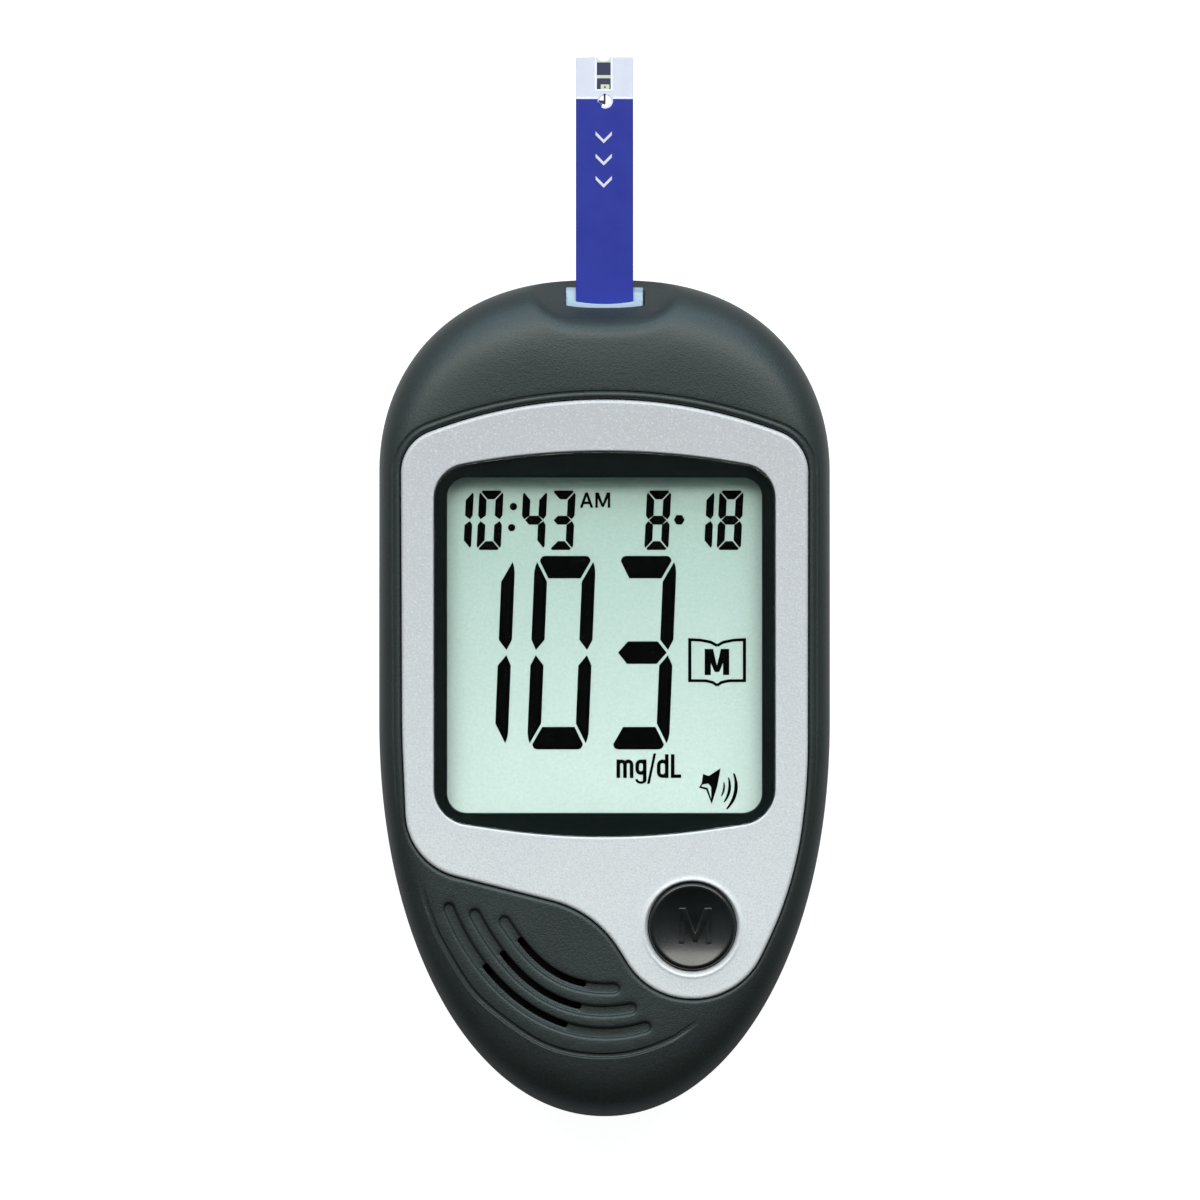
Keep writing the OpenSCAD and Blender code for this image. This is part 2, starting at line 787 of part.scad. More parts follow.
module strip_contacts() color([0.85, 0.7, 0.35]) {
    t = 0.22;
    tail = connector_y - 1.4;
    low = board_top + 0.02;
    mid = board_top + 0.42;
    tip_y = strip_end_y + 2.2;
    tip_z = strip_z - 0.03;
    for (i = [-1, 0, 1]) {
        translate([i * contact_pitch - contact_w / 2, 0, 0]) {
            rotate([90, 0, 90]) {
                linear_extrude(contact_w) {
                    polygon([
                        [tail, low],
                        [tail + 1.1, low],
                        [tail + 1.5, mid],
                        [tip_y - 3.4, mid],
                        [tip_y, tip_z - t],
                        [tip_y + 1, tip_z - t - 0.3],
                        [tip_y + 1.1, tip_z - 0.25],
                        [tip_y, tip_z],
                        [tip_y - 3.5, mid + t],
                        [tail + 1.3, mid + t],
                        [tail + 0.9, low + t],
                        [tail, low + t]
                    ]);
                }
            }
        }
    }
}

// ---- the board and what is on it ----

module circuit_board() color([0.1, 0.35, 0.2]) {
    difference() {
        outline_slab(board_share, board_z, board_top);
        at(screw_places) translate([0, 0, board_z - 1]) cylinder(r = boss_r + 0.35, h = board_t + 2);
        at(board_screw_places) {
            translate([0, 0, board_z - 1]) cylinder(r = board_screw_r + 0.2, h = board_t + 2);
        }
        for (s = [-1, 1]) {
            box_between([s * cell_pitch / 2 - 1.3, bay_high - 0.75, board_z - 1],
                [s * cell_pitch / 2 + 1.3, bay_high + 0.1, board_top + 1]);
        }
    }
}

holder_w = display_w + 6.2;
holder_h = display_h + 8.1;
glass_w = holder_w - 1.6;
glass_h = holder_h - 1.6;

module lcd_panel() color([0.72, 0.83, 0.77]) {
    translate([0, display_y, 0]) rounded_box(glass_w, glass_h, 0.5, glass_z, glass_top);
}

module lcd_holder() color([0.9, 0.9, 0.88]) {
    translate([0, display_y, 0]) {
        difference() {
            rounded_box(holder_w, holder_h, 1.2, board_top + 0.01, glass_top - 0.1);
            rounded_box(glass_w + 0.2, glass_h + 0.2, 0.6, glass_z - seat_gap, glass_top + 1);
            rounded_box(glass_w - 2.4, glass_h - 2.4, 0.6, board_top - 1, glass_top + 1);
        }
    }
}

module zebra_strips() color([0.75, 0.4, 0.5]) {
    for (s = [-1, 1]) {
        box_between([-display_w / 2, display_y + s * (glass_h / 2 - 2.4) - 0.9, board_top + 0.02],
            [display_w / 2, display_y + s * (glass_h / 2 - 2.4) + 0.9, glass_z - 0.02]);
    }
}

module chip(w, l, h, legs) {
    pitch = l / (legs + 1);
    translate([-w / 2, -l / 2, 0.1]) cube([w, l, h]);
    for (s = [-1, 1], i = [1 : legs]) {
        box_between([s * (w / 2 + 0.3) - 0.35, -l / 2 + i * pitch - 0.15, 0],
            [s * (w / 2 + 0.3) + 0.35, -l / 2 + i * pitch + 0.15, 0.3]);
    }
}

module processor_chip() color([0.12, 0.12, 0.12]) {
    translate([-4, display_y + 4, board_top + 0.01]) chip(9, 9, 1.2, 12);
}

module voice_chip() color([0.12, 0.12, 0.12]) {
    translate([9, display_y - 3, board_top + 0.01]) chip(5.2, 5.2, 1.2, 4);
}

module crystal() color([0.8, 0.8, 0.8]) {
    translate([-4, display_y - 6, board_top + 0.01]) {
        rounded_box(8, 3.4, 1.6, 0, 1.3);
    }
}

component_places = [
    [3, 2], [6, 6], [6, 9], [-12, 8], [-12, 4], [-12, 0], [-12, -6], [2, -10], [5, -12], [12, 10]
];
module small_components() color([0.6, 0.5, 0.4]) {
    for (p = component_places) {
        translate([p[0] - 0.8, display_y + p[1] - 0.4, board_top + 0.01]) cube([1.6, 0.8, 0.7]);
    }
    for (i = [0 : 3]) {
        translate([12 - 2.4 * i, button_y + 6.9, board_top + 0.01]) cube([1.2, 2, 0.8]);
    }
}

module data_port() color([0.75, 0.76, 0.78]) {
    top = board_z - 0.02;
    difference() {
        box_between([data_x, port_y - data_w / 2, top - data_h], [data_x + data_l, port_y + data_w / 2, top]);
        box_between([data_x - 1, port_y - data_w / 2 + data_wall, top - data_h + data_wall],
            [data_x + data_l - 1, port_y + data_w / 2 - data_wall, top - data_wall]);
    }
    // the tongue inside
    box_between([data_x + 1, port_y - 2.4, top - data_h / 2 - 0.35],
        [data_x + data_l - 0.9, port_y + 2.4, top - data_h / 2 + 0.35]);
}

// ---- the speaker ----

module at_speaker(drop) {
    translate([speaker_x, speaker_y, speaker_seat_z - drop]) children();
}

module speaker_mesh() color([0.08, 0.08, 0.08]) {
    at_speaker(mesh_t + seat_gap) cylinder(r = speaker_r, h = mesh_t);
}

module speaker_gasket() color([0.15, 0.15, 0.15]) {
    at_speaker(mesh_t + gasket_t + 2 * seat_gap) tube(speaker_r, speaker_r - 1.3, gasket_t);
}

frame_drop = mesh_t + gasket_t + speaker_h + 3 * seat_gap;
module speaker_frame() color([0.6, 0.61, 0.63]) {
    at_speaker(frame_drop) {
        difference() {
            cylinder(r = speaker_r, h = speaker_h);
            translate([0, 0, 0.5]) cylinder(r = speaker_r - 0.8, h = speaker_h);
        }
    }
}

module speaker_cone() color([0.2, 0.2, 0.22]) {
    at_speaker(frame_drop - 0.55) {
        rotate_extrude() {
            polygon([
                [0, 0.35], [3, 0.05], [speaker_r - 1, 0.7], [speaker_r - 1, 0.85], [3, 0.25], [0, 0.6]
            ]);
        }
    }
}

module speaker_magnet() color([0.3, 0.3, 0.32]) {
    low = board_top + seat_gap;
    high = speaker_seat_z - frame_drop - seat_gap;
    translate([speaker_x, speaker_y, low]) cylinder(r = speaker_r * 0.55, h = high - low);
}

// ---- the batteries and their contacts ----

module cell() {
    r = cell_d / 2;
    rotate([-90, 0, 0]) {
        rotate_extrude() {
            polygon([
                [0, 0], [r - 1.2, 0], [r - 0.3, 0.2], [r, 0.6],
                [r, cell_l - 1.6], [r - 0.3, cell_l - 1.1], [r - 1.4, cell_l - 0.9], [1.9, cell_l - 0.9],
                [1.9, cell_l - 0.15], [1.7, cell_l], [0, cell_l]
            ]);
        }
    }
}

bridge_y = bay_low + 0.1 + plate_metal;
end_plate_y = bay_high - 0.1 - plate_metal;

module battery_1() color([0.25, 0.45, 0.5]) {
    translate([-cell_pitch / 2, end_plate_y - seat_gap - cell_l, cell_z]) cell();
}

module battery_2() color([0.25, 0.45, 0.5]) {
    translate([cell_pitch / 2, bridge_y + seat_gap + cell_l, cell_z]) rotate([0, 0, 180]) cell();
}

module bridge_contact() color([0.8, 0.8, 0.8]) {
    box_between([-bay_half + 0.3, bay_low + 0.1, ledge_z + 0.6],
        [bay_half - 0.3, bridge_y, bay_ceiling_z - 0.3]);
}

module end_contacts() color([0.8, 0.8, 0.8]) {
    for (s = [-1, 1]) {
        x = s * cell_pitch / 2;
        box_between([x - 4.6, end_plate_y, ledge_z + 0.6], [x + 4.6, bay_high - 0.1, bay_ceiling_z - 0.3]);
        box_between([x - 1, end_plate_y, bay_ceiling_z - 1], [x + 1, bay_high - 0.1, board_top - seat_gap]);
    }
}

// A conical coil: wide at the plate, narrow at the cell
coil_turns = 3.5;
coil_sides = 7;
coil_steps = 36;
coil_wire_r = 0.33;
coil_low_r = 3.6;
coil_high_r = 2;
coil_l = spring_l - 2 * coil_wire_r - 2 * seat_gap;
function coil_point(s, i) =
    let (
        turn = 360 * coil_turns * s,
        side = 360 * i / coil_sides,
        r = coil_low_r + (coil_high_r - coil_low_r) * s + coil_wire_r * cos(side)
    )
    [r * cos(turn), r * sin(turn), coil_l * s + coil_wire_r * sin(side)];

module coil() {
    loft([for (j = [coil_steps : -1 : 0]) [for (i = [0 : coil_sides - 1]) coil_point(j / coil_steps, i)]]);
}

module battery_springs() color([0.82, 0.82, 0.84]) {
    translate([-cell_pitch / 2, bridge_y + seat_gap + coil_wire_r, cell_z]) rotate([-90, 0, 0]) coil();
    translate([cell_pitch / 2, end_plate_y - seat_gap - coil_wire_r, cell_z]) rotate([90, 0, 0]) coil();
}

module battery_cover() color([0.2, 0.2, 0.19]) {
    arm_w = 2;
    difference() {
        rounded_plate(cover_corners(0), 0, cover_t);
        // grip grooves by the tab
        for (i = [0 : 3]) {
            box_between([-5, cover_high - 3.2 - 1.3 * i, -1], [5, cover_high - 2.6 - 1.3 * i, 0.3]);
        }
    }
    // the snap tab
    box_between([-tab_half, cover_high - 1.4, cover_t - 0.2], [tab_half, cover_high - 0.5, ledge_z + 0.9]);
    box_between([-tab_half, cover_high - 1.4, ledge_z + 0.3], [tab_half, cover_high + 0.8, ledge_z + 0.9]);
    // the arms and their pins
    mirror_copy() {
        box_between([cover_half - arm_w, hinge_y - 0.8, cover_t - 0.2], [cover_half, hinge_y + 0.8, hinge_z]);
        translate([cover_half - arm_w, hinge_y, hinge_z]) {
            rotate([0, 90, 0]) {
                cylinder(r = hinge_pin_r, h = arm_w);
                cylinder(r = hinge_pin_r, h = arm_w + hinge_pin_l);
            }
        }
    }
}

// ---- the screws ----

module screw(head_r, head_h, shank_r, length) {
    difference() {
        union() {
            translate([0, 0, -head_h]) cylinder(r = head_r, h = head_h);
            translate([0, 0, -eps]) cylinder(r = shank_r, h = length);
        }
        // cross recess
        for (a = [0, 90]) {
            rotate([0, 0, a]) {
                translate([-head_r * 0.6, -0.25, -head_h - 1]) cube([head_r * 1.2, 0.5, 1.7]);
            }
        }
    }
}

module case_screws() color([0.5, 0.5, 0.52]) {
    at(screw_places) {
        translate([0, 0, screw_seat_z - seat_gap]) screw(screw_head_r, 1.6, screw_shank_r, screw_l);
    }
}

module board_screws() color([0.6, 0.6, 0.62]) {
    at(board_screw_places) {
        translate([0, 0, board_top + seat_gap]) mirror([0, 0, 1]) screw(1.7, 1.2, board_screw_r, 7);
    }
}

front_case();
faceplate();
display_window();
memory_button();
strip_port();
test_strip();
rear_case();
battery_cover();
battery_1();
battery_2();
bridge_contact();
end_contacts();
battery_springs();
circuit_board();
lcd_panel();
lcd_holder();
zebra_strips();
strip_connector();
strip_contacts();
memory_switch();
memory_plunger();
set_button();
set_switch();
set_plunger();
speaker_frame();
speaker_cone();
speaker_magnet();
speaker_gasket();
speaker_mesh();
processor_chip();
voice_chip();
crystal();
small_components();
data_port();
case_screws();
board_screws();
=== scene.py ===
import math
import bpy
import bmesh
import numpy as np
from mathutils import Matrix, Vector, kdtree
from mathutils.geometry import delaunay_2d_cdt


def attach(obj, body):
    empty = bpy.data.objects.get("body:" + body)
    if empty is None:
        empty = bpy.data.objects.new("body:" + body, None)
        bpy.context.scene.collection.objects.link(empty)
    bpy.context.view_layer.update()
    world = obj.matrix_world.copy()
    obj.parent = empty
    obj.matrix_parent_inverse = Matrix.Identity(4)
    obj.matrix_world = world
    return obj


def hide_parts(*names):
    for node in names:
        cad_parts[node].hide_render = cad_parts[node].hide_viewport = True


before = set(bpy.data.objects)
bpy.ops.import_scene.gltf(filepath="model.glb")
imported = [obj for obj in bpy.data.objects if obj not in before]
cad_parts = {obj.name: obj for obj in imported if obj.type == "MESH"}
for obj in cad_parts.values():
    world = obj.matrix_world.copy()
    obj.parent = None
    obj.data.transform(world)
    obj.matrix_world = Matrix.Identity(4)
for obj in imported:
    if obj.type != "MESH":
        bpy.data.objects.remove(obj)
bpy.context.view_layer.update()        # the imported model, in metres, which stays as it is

mm = 0.001      # shapes below are worked out in millimetres
faceRing = 0.06     # an extra ring this far inside a rounded edge keeps the face flat
rowShare = 0.866    # rows of an even triangle grid, as a share of its step

# The body, shared by both halves of the case
body = {
    "halfWidth": 26.35,
    "halfLength": 49.0,
    "bluntStart": 26.5,     # where the blunt end begins
    "taperStart": -2.5,     # where the tapering end begins
    "bluntPowers": (2.5, 2.06),
    "taperPowers": (2.04, 2.09),
    "height": 22.0,
    "split": 11.3,          # height at which the halves meet
    "frontFlat": 0.72,
    "edgePower": (5.2, 1.4),    # how the front's edge turns at the sides, and how much less at the ends
    "fallPower": (6, 2),
    "backFlat": 0.76,
    "backPower": 2.1,
    "frontWall": 2.2,
    "backWall": 1.7,
    "sideWall": 1.8,
    "outlineStep": 0.7,
    "seam": 0.14,           # chamfer where the halves meet
    "seamGap": 0.02,
}


def addToScene(obj):
    bpy.context.scene.collection.objects.link(obj)
    return obj


def meshObject(name, points, faces):
    mesh = bpy.data.meshes.new(name)
    mesh.from_pydata((np.asarray(points, float) * mm).tolist(), [], faces)
    mesh.update()
    return addToScene(bpy.data.objects.new(name, mesh))


def wallFaces(start, rings, count):
    # the faces between rings of points that follow each other
    return [(a, b, b + count, a + count) for first in range(start, start + (rings - 1) * count, count)
            for a, b in ((first + i, first + (i + 1) % count) for i in range(count))]


def finishMesh(obj, angle=35):
    # one clean skin, facing outwards, smooth but for its true edges
    work = bmesh.new()
    work.from_mesh(obj.data)
    bmesh.ops.remove_doubles(work, verts=work.verts, dist=2e-7)
    bmesh.ops.recalc_face_normals(work, faces=work.faces)
    work.to_mesh(obj.data)
    work.free()
    obj.data.polygons.foreach_set("use_smooth", [True] * len(obj.data.polygons))
    obj.data.set_sharp_from_angle(angle=math.radians(angle))
    obj.data.update()
    return obj


def combine(obj, tools, operation="DIFFERENCE"):
    # cuts the tools out of the object, or adds them to it, and removes them
    for tool in tools:
        step = obj.modifiers.new("step", "BOOLEAN")
        step.operation = operation
        step.solver = "MANIFOLD"
        step.object = tool
    bpy.context.view_layer.update()
    solid = bpy.data.meshes.new_from_object(obj.evaluated_get(bpy.context.evaluated_depsgraph_get()))
    obj.modifiers.clear()
    obj.data = solid
    for tool in tools:
        bpy.data.objects.remove(tool)
    return obj


def joined(name, pieces):
    # one object out of several separate solids
    work = bmesh.new()
    materials = []
    for piece in pieces:
        first = len(work.faces)
        work.from_mesh(piece.data)
        work.faces.ensure_lookup_table()
        places = []
        for material in piece.data.materials:
            if material not in materials:
                materials.append(material)
            places.append(materials.index(material))
        for face in work.faces[first:]:
            face.material_index = places[face.material_index] if places else 0
    mesh = bpy.data.meshes.new(name)
    work.to_mesh(mesh)
    work.free()
    for material in materials:
        mesh.materials.append(material)
    for piece in pieces:
        bpy.data.objects.remove(piece)
    return addToScene(bpy.data.objects.new(name, mesh))


# Outlines are closed rows of points, counter-clockwise


def unit(v):
    return v / np.linalg.norm(v)


def roundedLoop(corners, step=0.5):
    # corners are (x, y, radius); each is rounded with an arc
    places = [np.array(c[:2], float) for c in corners]
    points = []
    count = len(places)
    for i, here in enumerate(places):
        before = unit(places[i - 1] - here)
        after = unit(places[(i + 1) % count] - here)
        radius = corners[i][2]
        half = math.acos(float(np.clip(before @ after, -1, 1))) / 2
        centre = here + unit(before + after) * radius / math.sin(half)
        start = here + before * radius / math.tan(half) - centre
        end = here + after * radius / math.tan(half) - centre
        turn = (math.pi - 2 * half) * np.sign(start[0] * end[1] - start[1] * end[0])
        steps = max(5, int(abs(turn) * radius / step))
        for a in np.linspace(0, turn, steps + 1):
            points.append(centre + [start[0] * math.cos(a) - start[1] * math.sin(a),
                                    start[0] * math.sin(a) + start[1] * math.cos(a)])
    return turnedLeft(np.array(points))


def turnedLeft(loop):
    x, y = loop[:, 0], loop[:, 1]
    return loop if np.sum(x * np.roll(y, -1) - np.roll(x, -1) * y) > 0 else loop[::-1]


def circleLoop(x, y, radius, steps=64):
    a = np.linspace(0, 2 * math.pi, steps, endpoint=False)
    return np.stack([x + radius * np.cos(a), y + radius * np.sin(a)], axis=1)


def boxLoop(low, high, radius):
    return roundedLoop([(low[0], high[1], radius), (low[0], low[1], radius),
                        (high[0], low[1], radius), (high[0], high[1], radius)], 0.2)


def shifted(loop, distance):
    # the loop moved outwards
    along = np.roll(loop, -1, axis=0) - np.roll(loop, 1, axis=0)
    out = np.stack([along[:, 1], -along[:, 0]], axis=1)
    return loop + distance * out / np.linalg.norm(out, axis=1)[:, None]


def evenly(loop, step, closed=True):
    row = np.vstack([loop, loop[:1]]) if closed else loop
    lengths = np.r_[0, np.cumsum(np.linalg.norm(np.diff(row, axis=0), axis=1))]
    count = max(8, int(round(lengths[-1] / step)))
    at = np.linspace(0, lengths[-1], count, endpoint=not closed)
    return np.stack([np.interp(at, lengths, row[:, i]) for i in (0, 1)], axis=1)


def within(points, loop):
    x, y = points[:, 0], points[:, 1]
    hit = np.zeros(len(points), bool)
    for (x1, y1), (x2, y2) in zip(loop, np.roll(loop, -1, axis=0)):
        if y1 != y2:
            hit ^= ((y1 > y) != (y2 > y)) & (x < (x2 - x1) * (y - y1) / (y2 - y1) + x1)
    return hit


def bezier(controls, shares):
    c = [np.array(p, float) for p in controls]
    t = np.asarray(shares, float)[:, None]
    return (1 - t) ** 3 * c[0] + 3 * (1 - t) ** 2 * t * c[1] + 3 * (1 - t) * t ** 2 * c[2] + t ** 3 * c[3]


def flatCap(points, loops):
    # triangles between the first loop of point numbers and the others, which are holes in it
    order = [i for loop in loops for i in loop]
    edges = []
    start = 0
    for loop in loops:
        edges += [(start + i, start + (i + 1) % len(loop)) for i in range(len(loop))]
        start += len(loop)
    found = delaunay_2d_cdt([Vector(points[i][:2]) for i in order], edges, [], 0, 1e-7)
    places = np.array([v[:] for v in found[0]])
    triangles = np.array([f for f in found[2] if len(f) == 3])
    centres = places[triangles].mean(axis=1)
    keep = within(centres, np.array([points[i][:2] for i in loops[0]]))
    for hole in loops[1:]:
        keep &= ~within(centres, np.array([points[i][:2] for i in hole]))
    source = [ids[0] for ids in found[3]]
    return [tuple(order[source[i]] for i in t) for t in triangles[keep]]


def slab(name, outer, profile, holes=()):
    # a plate; a profile is a row of (outward shift, height) from its lower face to its upper one,
    # and a third number moves that ring of points back along the body
    points, faces, rims = [], [], []
    for loop, rows in [(outer, profile)] + list(holes):
        start, n = len(points), len(loop)
        for shift, z, *back in rows:
            slide = back[0] if back else 0
            points.extend((x, y - slide, z) for x, y in (shifted(loop, shift) if shift else loop))
        faces += wallFaces(start, len(rows), n)
        last = len(points) - n
        rims.append((list(range(start, start + n)), list(range(last, last + n))))
    for level in (0, 1):
        faces += flatCap(points, [rim[level] for rim in rims])
    return finishMesh(meshObject(name, points, faces))


def roundedEdge(level, radius, way, steps):
    # from a flat face out to the wall; way is 1 at a lower face and -1 at an upper one
    if not radius:
        return [(0, level)]
    turns = [math.pi / 2 * i / steps for i in range(steps + 1)]
    return [(-radius - faceRing, level)] + [
        (radius * (math.sin(a) - 1), level + way * radius * (1 - math.cos(a))) for a in turns]


def roundedProfile(low, high, lowRadius, highRadius, steps=5):
    return roundedEdge(low, lowRadius, 1, steps) + roundedEdge(high, highRadius, -1, steps)[::-1]


def holeRows(low, high, lowRadius, highRadius, steps=4):
    # the same for a hole, whose edges are rounded outwards
    return [(-shift, z) for shift, z in roundedProfile(low, high, lowRadius, highRadius, steps)]


def turned(name, rows, centre=(0, 0), steps=96):
    # a solid of revolution about +Z from (radius, height) rows that start and end on the axis
    points = [(*centre, rows[0][1])]
    for radius, z in rows[1:-1]:
        points.extend((x, y, z) for x, y in circleLoop(*centre, radius, steps))
    points.append((*centre, rows[-1][1]))
    last = len(points) - 1
    faces = wallFaces(1, len(rows) - 2, steps)
    for i in range(steps):
        j = (i + 1) % steps
        faces += [(0, 1 + j, 1 + i), (last - steps + i, last - steps + j, last)]
    return finishMesh(meshObject(name, points, faces))


def drum(name, centre, radius, low, high, steps=48):
    return turned(name, [(0, low), (radius, low), (radius, high), (0, high)], centre, steps)


def block(name, low, high, radius=0.0):
    # a box, its upright edges rounded by the radius and its other edges half as much
    if radius:
        rows = roundedProfile(low[2], high[2], radius / 2, radius / 2, 3)[1:-1]
        return slab(name, boxLoop(low, high, radius), rows)
    loop = np.array([(low[0], low[1]), (high[0], low[1]), (high[0], high[1]), (low[0], high[1])], float)
    return slab(name, loop, [(0, low[2]), (0, high[2])])


def ringSolid(name, rings):
    # a closed solid through rings of points, from one end to the other
    n = len(rings[0])
    points = [tuple(p) for ring in rings for p in ring]
    faces = [tuple(range(n)), tuple(range(len(points) - n, len(points)))]
    return finishMesh(meshObject(name, points, faces + wallFaces(0, len(rings), n)))


def rod(name, start, end, radius, steps=32):
    # a plain round bar between two points, with its ends chamfered
    a, b = np.array(start, float), np.array(end, float)
    along = unit(b - a)
    side = unit(np.cross(along, (0.3, 0.5, 0.8)))
    up = np.cross(along, side)
    chamfer = radius * 0.12
    turn = np.linspace(0, 2 * math.pi, steps, endpoint=False)
    rows = ((a, radius - chamfer), (a + along * chamfer, radius),
            (b - along * chamfer, radius), (b, radius - chamfer))
    return ringSolid(name, [
        [centre + r * (side * math.cos(t) + up * math.sin(t)) for t in turn] for centre, r in rows])


# The outline of the body, and heights of its front and back


def bodyOutline():
    def quarter(start, length, powers, t):
        x = body["halfWidth"] * np.cos(t) ** (2 / powers[0])
        return np.stack([x, start + length * np.sin(t) ** (2 / powers[1])], axis=1)

    t = np.linspace(0, math.pi / 2, 600)
    t[-1] = math.pi / 2 - 1e-9
    taper = quarter(body["taperStart"], -(body["taperStart"] + body["halfLength"]), body["taperPowers"], t)
    blunt = quarter(body["bluntStart"], body["halfLength"] - body["bluntStart"], body["bluntPowers"], t)
    right = np.vstack([taper[::-1], blunt])
    left = right[::-1] * [-1, 1]
    return evenly(np.vstack([right, left]), body["outlineStep"])


outline = bodyOutline()
outlineAngles = np.arctan2(outline[:, 1], outline[:, 0])
angleOrder = np.argsort(outlineAngles)
outlineReach = np.linalg.norm(outline, axis=1)


def shareOfOutline(points):
    # how far out each point is, from 0 in the middle to 1 on the outline, and how near an end it is
    angles = np.arctan2(points[:, 1], points[:, 0])
    reach = np.interp(angles, outlineAngles[angleOrder], outlineReach[angleOrder], period=2 * math.pi)
    share = np.linalg.norm(points, axis=1) / reach
    endWeight = (reach * np.sin(angles) / body["halfLength"]) ** 2
    return share, endWeight


def power(name, endWeight):
    atSides, less = body[name]
    return atSides - less * endWeight


def frontHeight(points):
    share, endWeight = shareOfOutline(points)
    flat = body["frontFlat"]
    past = np.clip((share - flat) / (1 - flat), 0, 1)
    roll = (1 - past ** power("edgePower", endWeight)) ** (1 / power("fallPower", endWeight))
    return body["split"] + (body["height"] - body["split"]) * roll


def frontRing(level, loop=outline, top=body["height"]):
    # the ring of the front's edge at which its height is this share of the whole
    endWeight = (outline[:, 1] / body["halfLength"]) ** 2
    past = (1 - level ** power("fallPower", endWeight)) ** (1 / power("edgePower", endWeight))
    share = body["frontFlat"] + (1 - body["frontFlat"]) * past
    heights = np.full(len(loop), body["split"] + (top - body["split"]) * level)
    return np.column_stack([loop * share[:, None], heights])


def backRing(level, loop=outline, wall=0.0):
    past = (1 - (1 - level) ** body["backPower"]) ** (1 / body["backPower"])
    share = body["backFlat"] + (1 - body["backFlat"]) * past
    heights = np.full(len(loop), wall + (body["split"] - wall) * level)
    return np.column_stack([loop * share, heights])


innerOutline = outline * [1 - body["sideWall"] / body["halfWidth"], 1 - body["sideWall"] / body["halfLength"]]


def frontCavity():
    levels = (0.0, 0.3, 0.6, 0.8, 0.93, 0.99, 1.0)
    below = frontRing(0.0, innerOutline)
    below[:, 2] -= 1
    top = body["height"] - body["frontWall"]
    return ringSolid("frontCavity", [below] + [frontRing(v, innerOutline, top) for v in levels])


def backCavity():
    levels = (0.0, 0.02, 0.1, 0.3, 0.6, 1.0)
    above = backRing(1.0, innerOutline, body["backWall"])
    above[:, 2] += 1
    return ringSolid("backCavity", [backRing(v, innerOutline, body["backWall"]) for v in levels] + [above])


# Places on the front that more than one piece shares
front = {
    "recess": 20.85,        # floor under the faceplate and the window
    "plateTop": 22.0,
    "plateLow": 20.9,
    "plateSide": 23.7,
    "windowTop": 21.95,
    "windowSide": 19.8,
    "windowEnds": (26.6, -14.1),
    "windowBulges": (3.5, 2.9),
    "displaySize": (36.6, 39.0),
    "displayMiddle": (0.0, 6.2),
    "displayCorner": 2.3,
    "button": (10.2, -26.5),
    "screws": ((17.5, 33.5), (-17.5, 33.5), (17.6, -20.5), (-17.6, -20.5)),
}


def plateLoop():
    side, top, low = front["plateSide"], body["halfLength"], -body["halfLength"]
    return roundedLoop([
        (0, top - 10.5, 57), (-side, top - 19.2, 5.1), (0.15 - side, low + 44.6, 90),
        (0.8 - side, low + 29.7, 7.8), (-1.1, low + 24.2, 12.8), (5.1, low + 14.4, 8.7),
        (15.6, low + 13.6, 8.7), (side - 1.5, low + 27.4, 45), (side - 0.05, low + 39.8, 70),
        (side, top - 19.2, 5)])


def windowLoop():
    side, (top, low), (topBulge, lowBulge) = front["windowSide"], front["windowEnds"], front["windowBulges"]
    return roundedLoop([
        (0, top + topBulge, 90), (-side, top, 4), (-side, low, 4.2),
        (0, low - lowBulge, 87), (side, low, 4.2), (side, top, 4)], 0.4)


def displayLoop(grow=0.0):
    (w, h), (x, y) = front["displaySize"], front["displayMiddle"]
    return boxLoop((x - w / 2 - grow, y - h / 2 - grow), (x + w / 2 + grow, y + h / 2 + grow),
                   front["displayCorner"])


grooves = {
    "curves": (
        ((-18.3, -23.9), (-15.2, -32.2), (-6.6, -42.0), (5.5, -38.0)),
        ((-15.3, -24.7), (-12.0, -31.1), (-6.4, -38.3), (3.7, -35.9)),
        ((-11.8, -25.7), (-9.3, -29.5), (-6.1, -34.3), (1.6, -33.7)),
    ),
    "shares": (0.02, 0.98),     # the part of each curve that is a groove
    "width": 1.4,
    "depth": 0.36,
    "slotWidth": 0.76,
    "slotShift": 0.32,      # the slots lie along the grooves' inner sides
    "slotCorner": 0.3,
    "slotShares": ((0.3, 0.69), (0.27, 0.75), (0.22, 0.8)),
    # beside a slot's outer edge: distance from it, and fall
    "slotSlope": ((-0.1, 0.1), (0.03, 0.1), (0.2, 0.0)),
    # the step round the speaker field
    "line": ((-21.4, -21.4), (-20.8, -23.8), (-20.1, -25.7), (-19.3, -27.7), (-16.3, -32.8), (-13.6, -35.8),
             (-8.7, -39.4), (-5.0, -41.0), (-0.9, -41.6), (3.2, -41.3), (7.1, -40.0), (8.9, -39.0),
             (11.2, -37.4)),
    "lineDepth": 0.26,
    "lineFade": 6,      # the step runs out over one part in six at each end
}


def directions(row):
    # forwards, and outwards to the right, along a row of points
    along = np.gradient(row, axis=0)
    along /= np.linalg.norm(along, axis=1)[:, None]
    return along, np.stack([along[:, 1], -along[:, 0]], axis=1)


def alongCurve(controls, shares, shift=0.0):
    # points along part of a curve, moved to its outer side, and the outward and forward directions there
    middle = bezier(controls, np.linspace(shares[0], shares[1], 48))
    along, out = directions(middle)
    return middle + out * shift, out, along


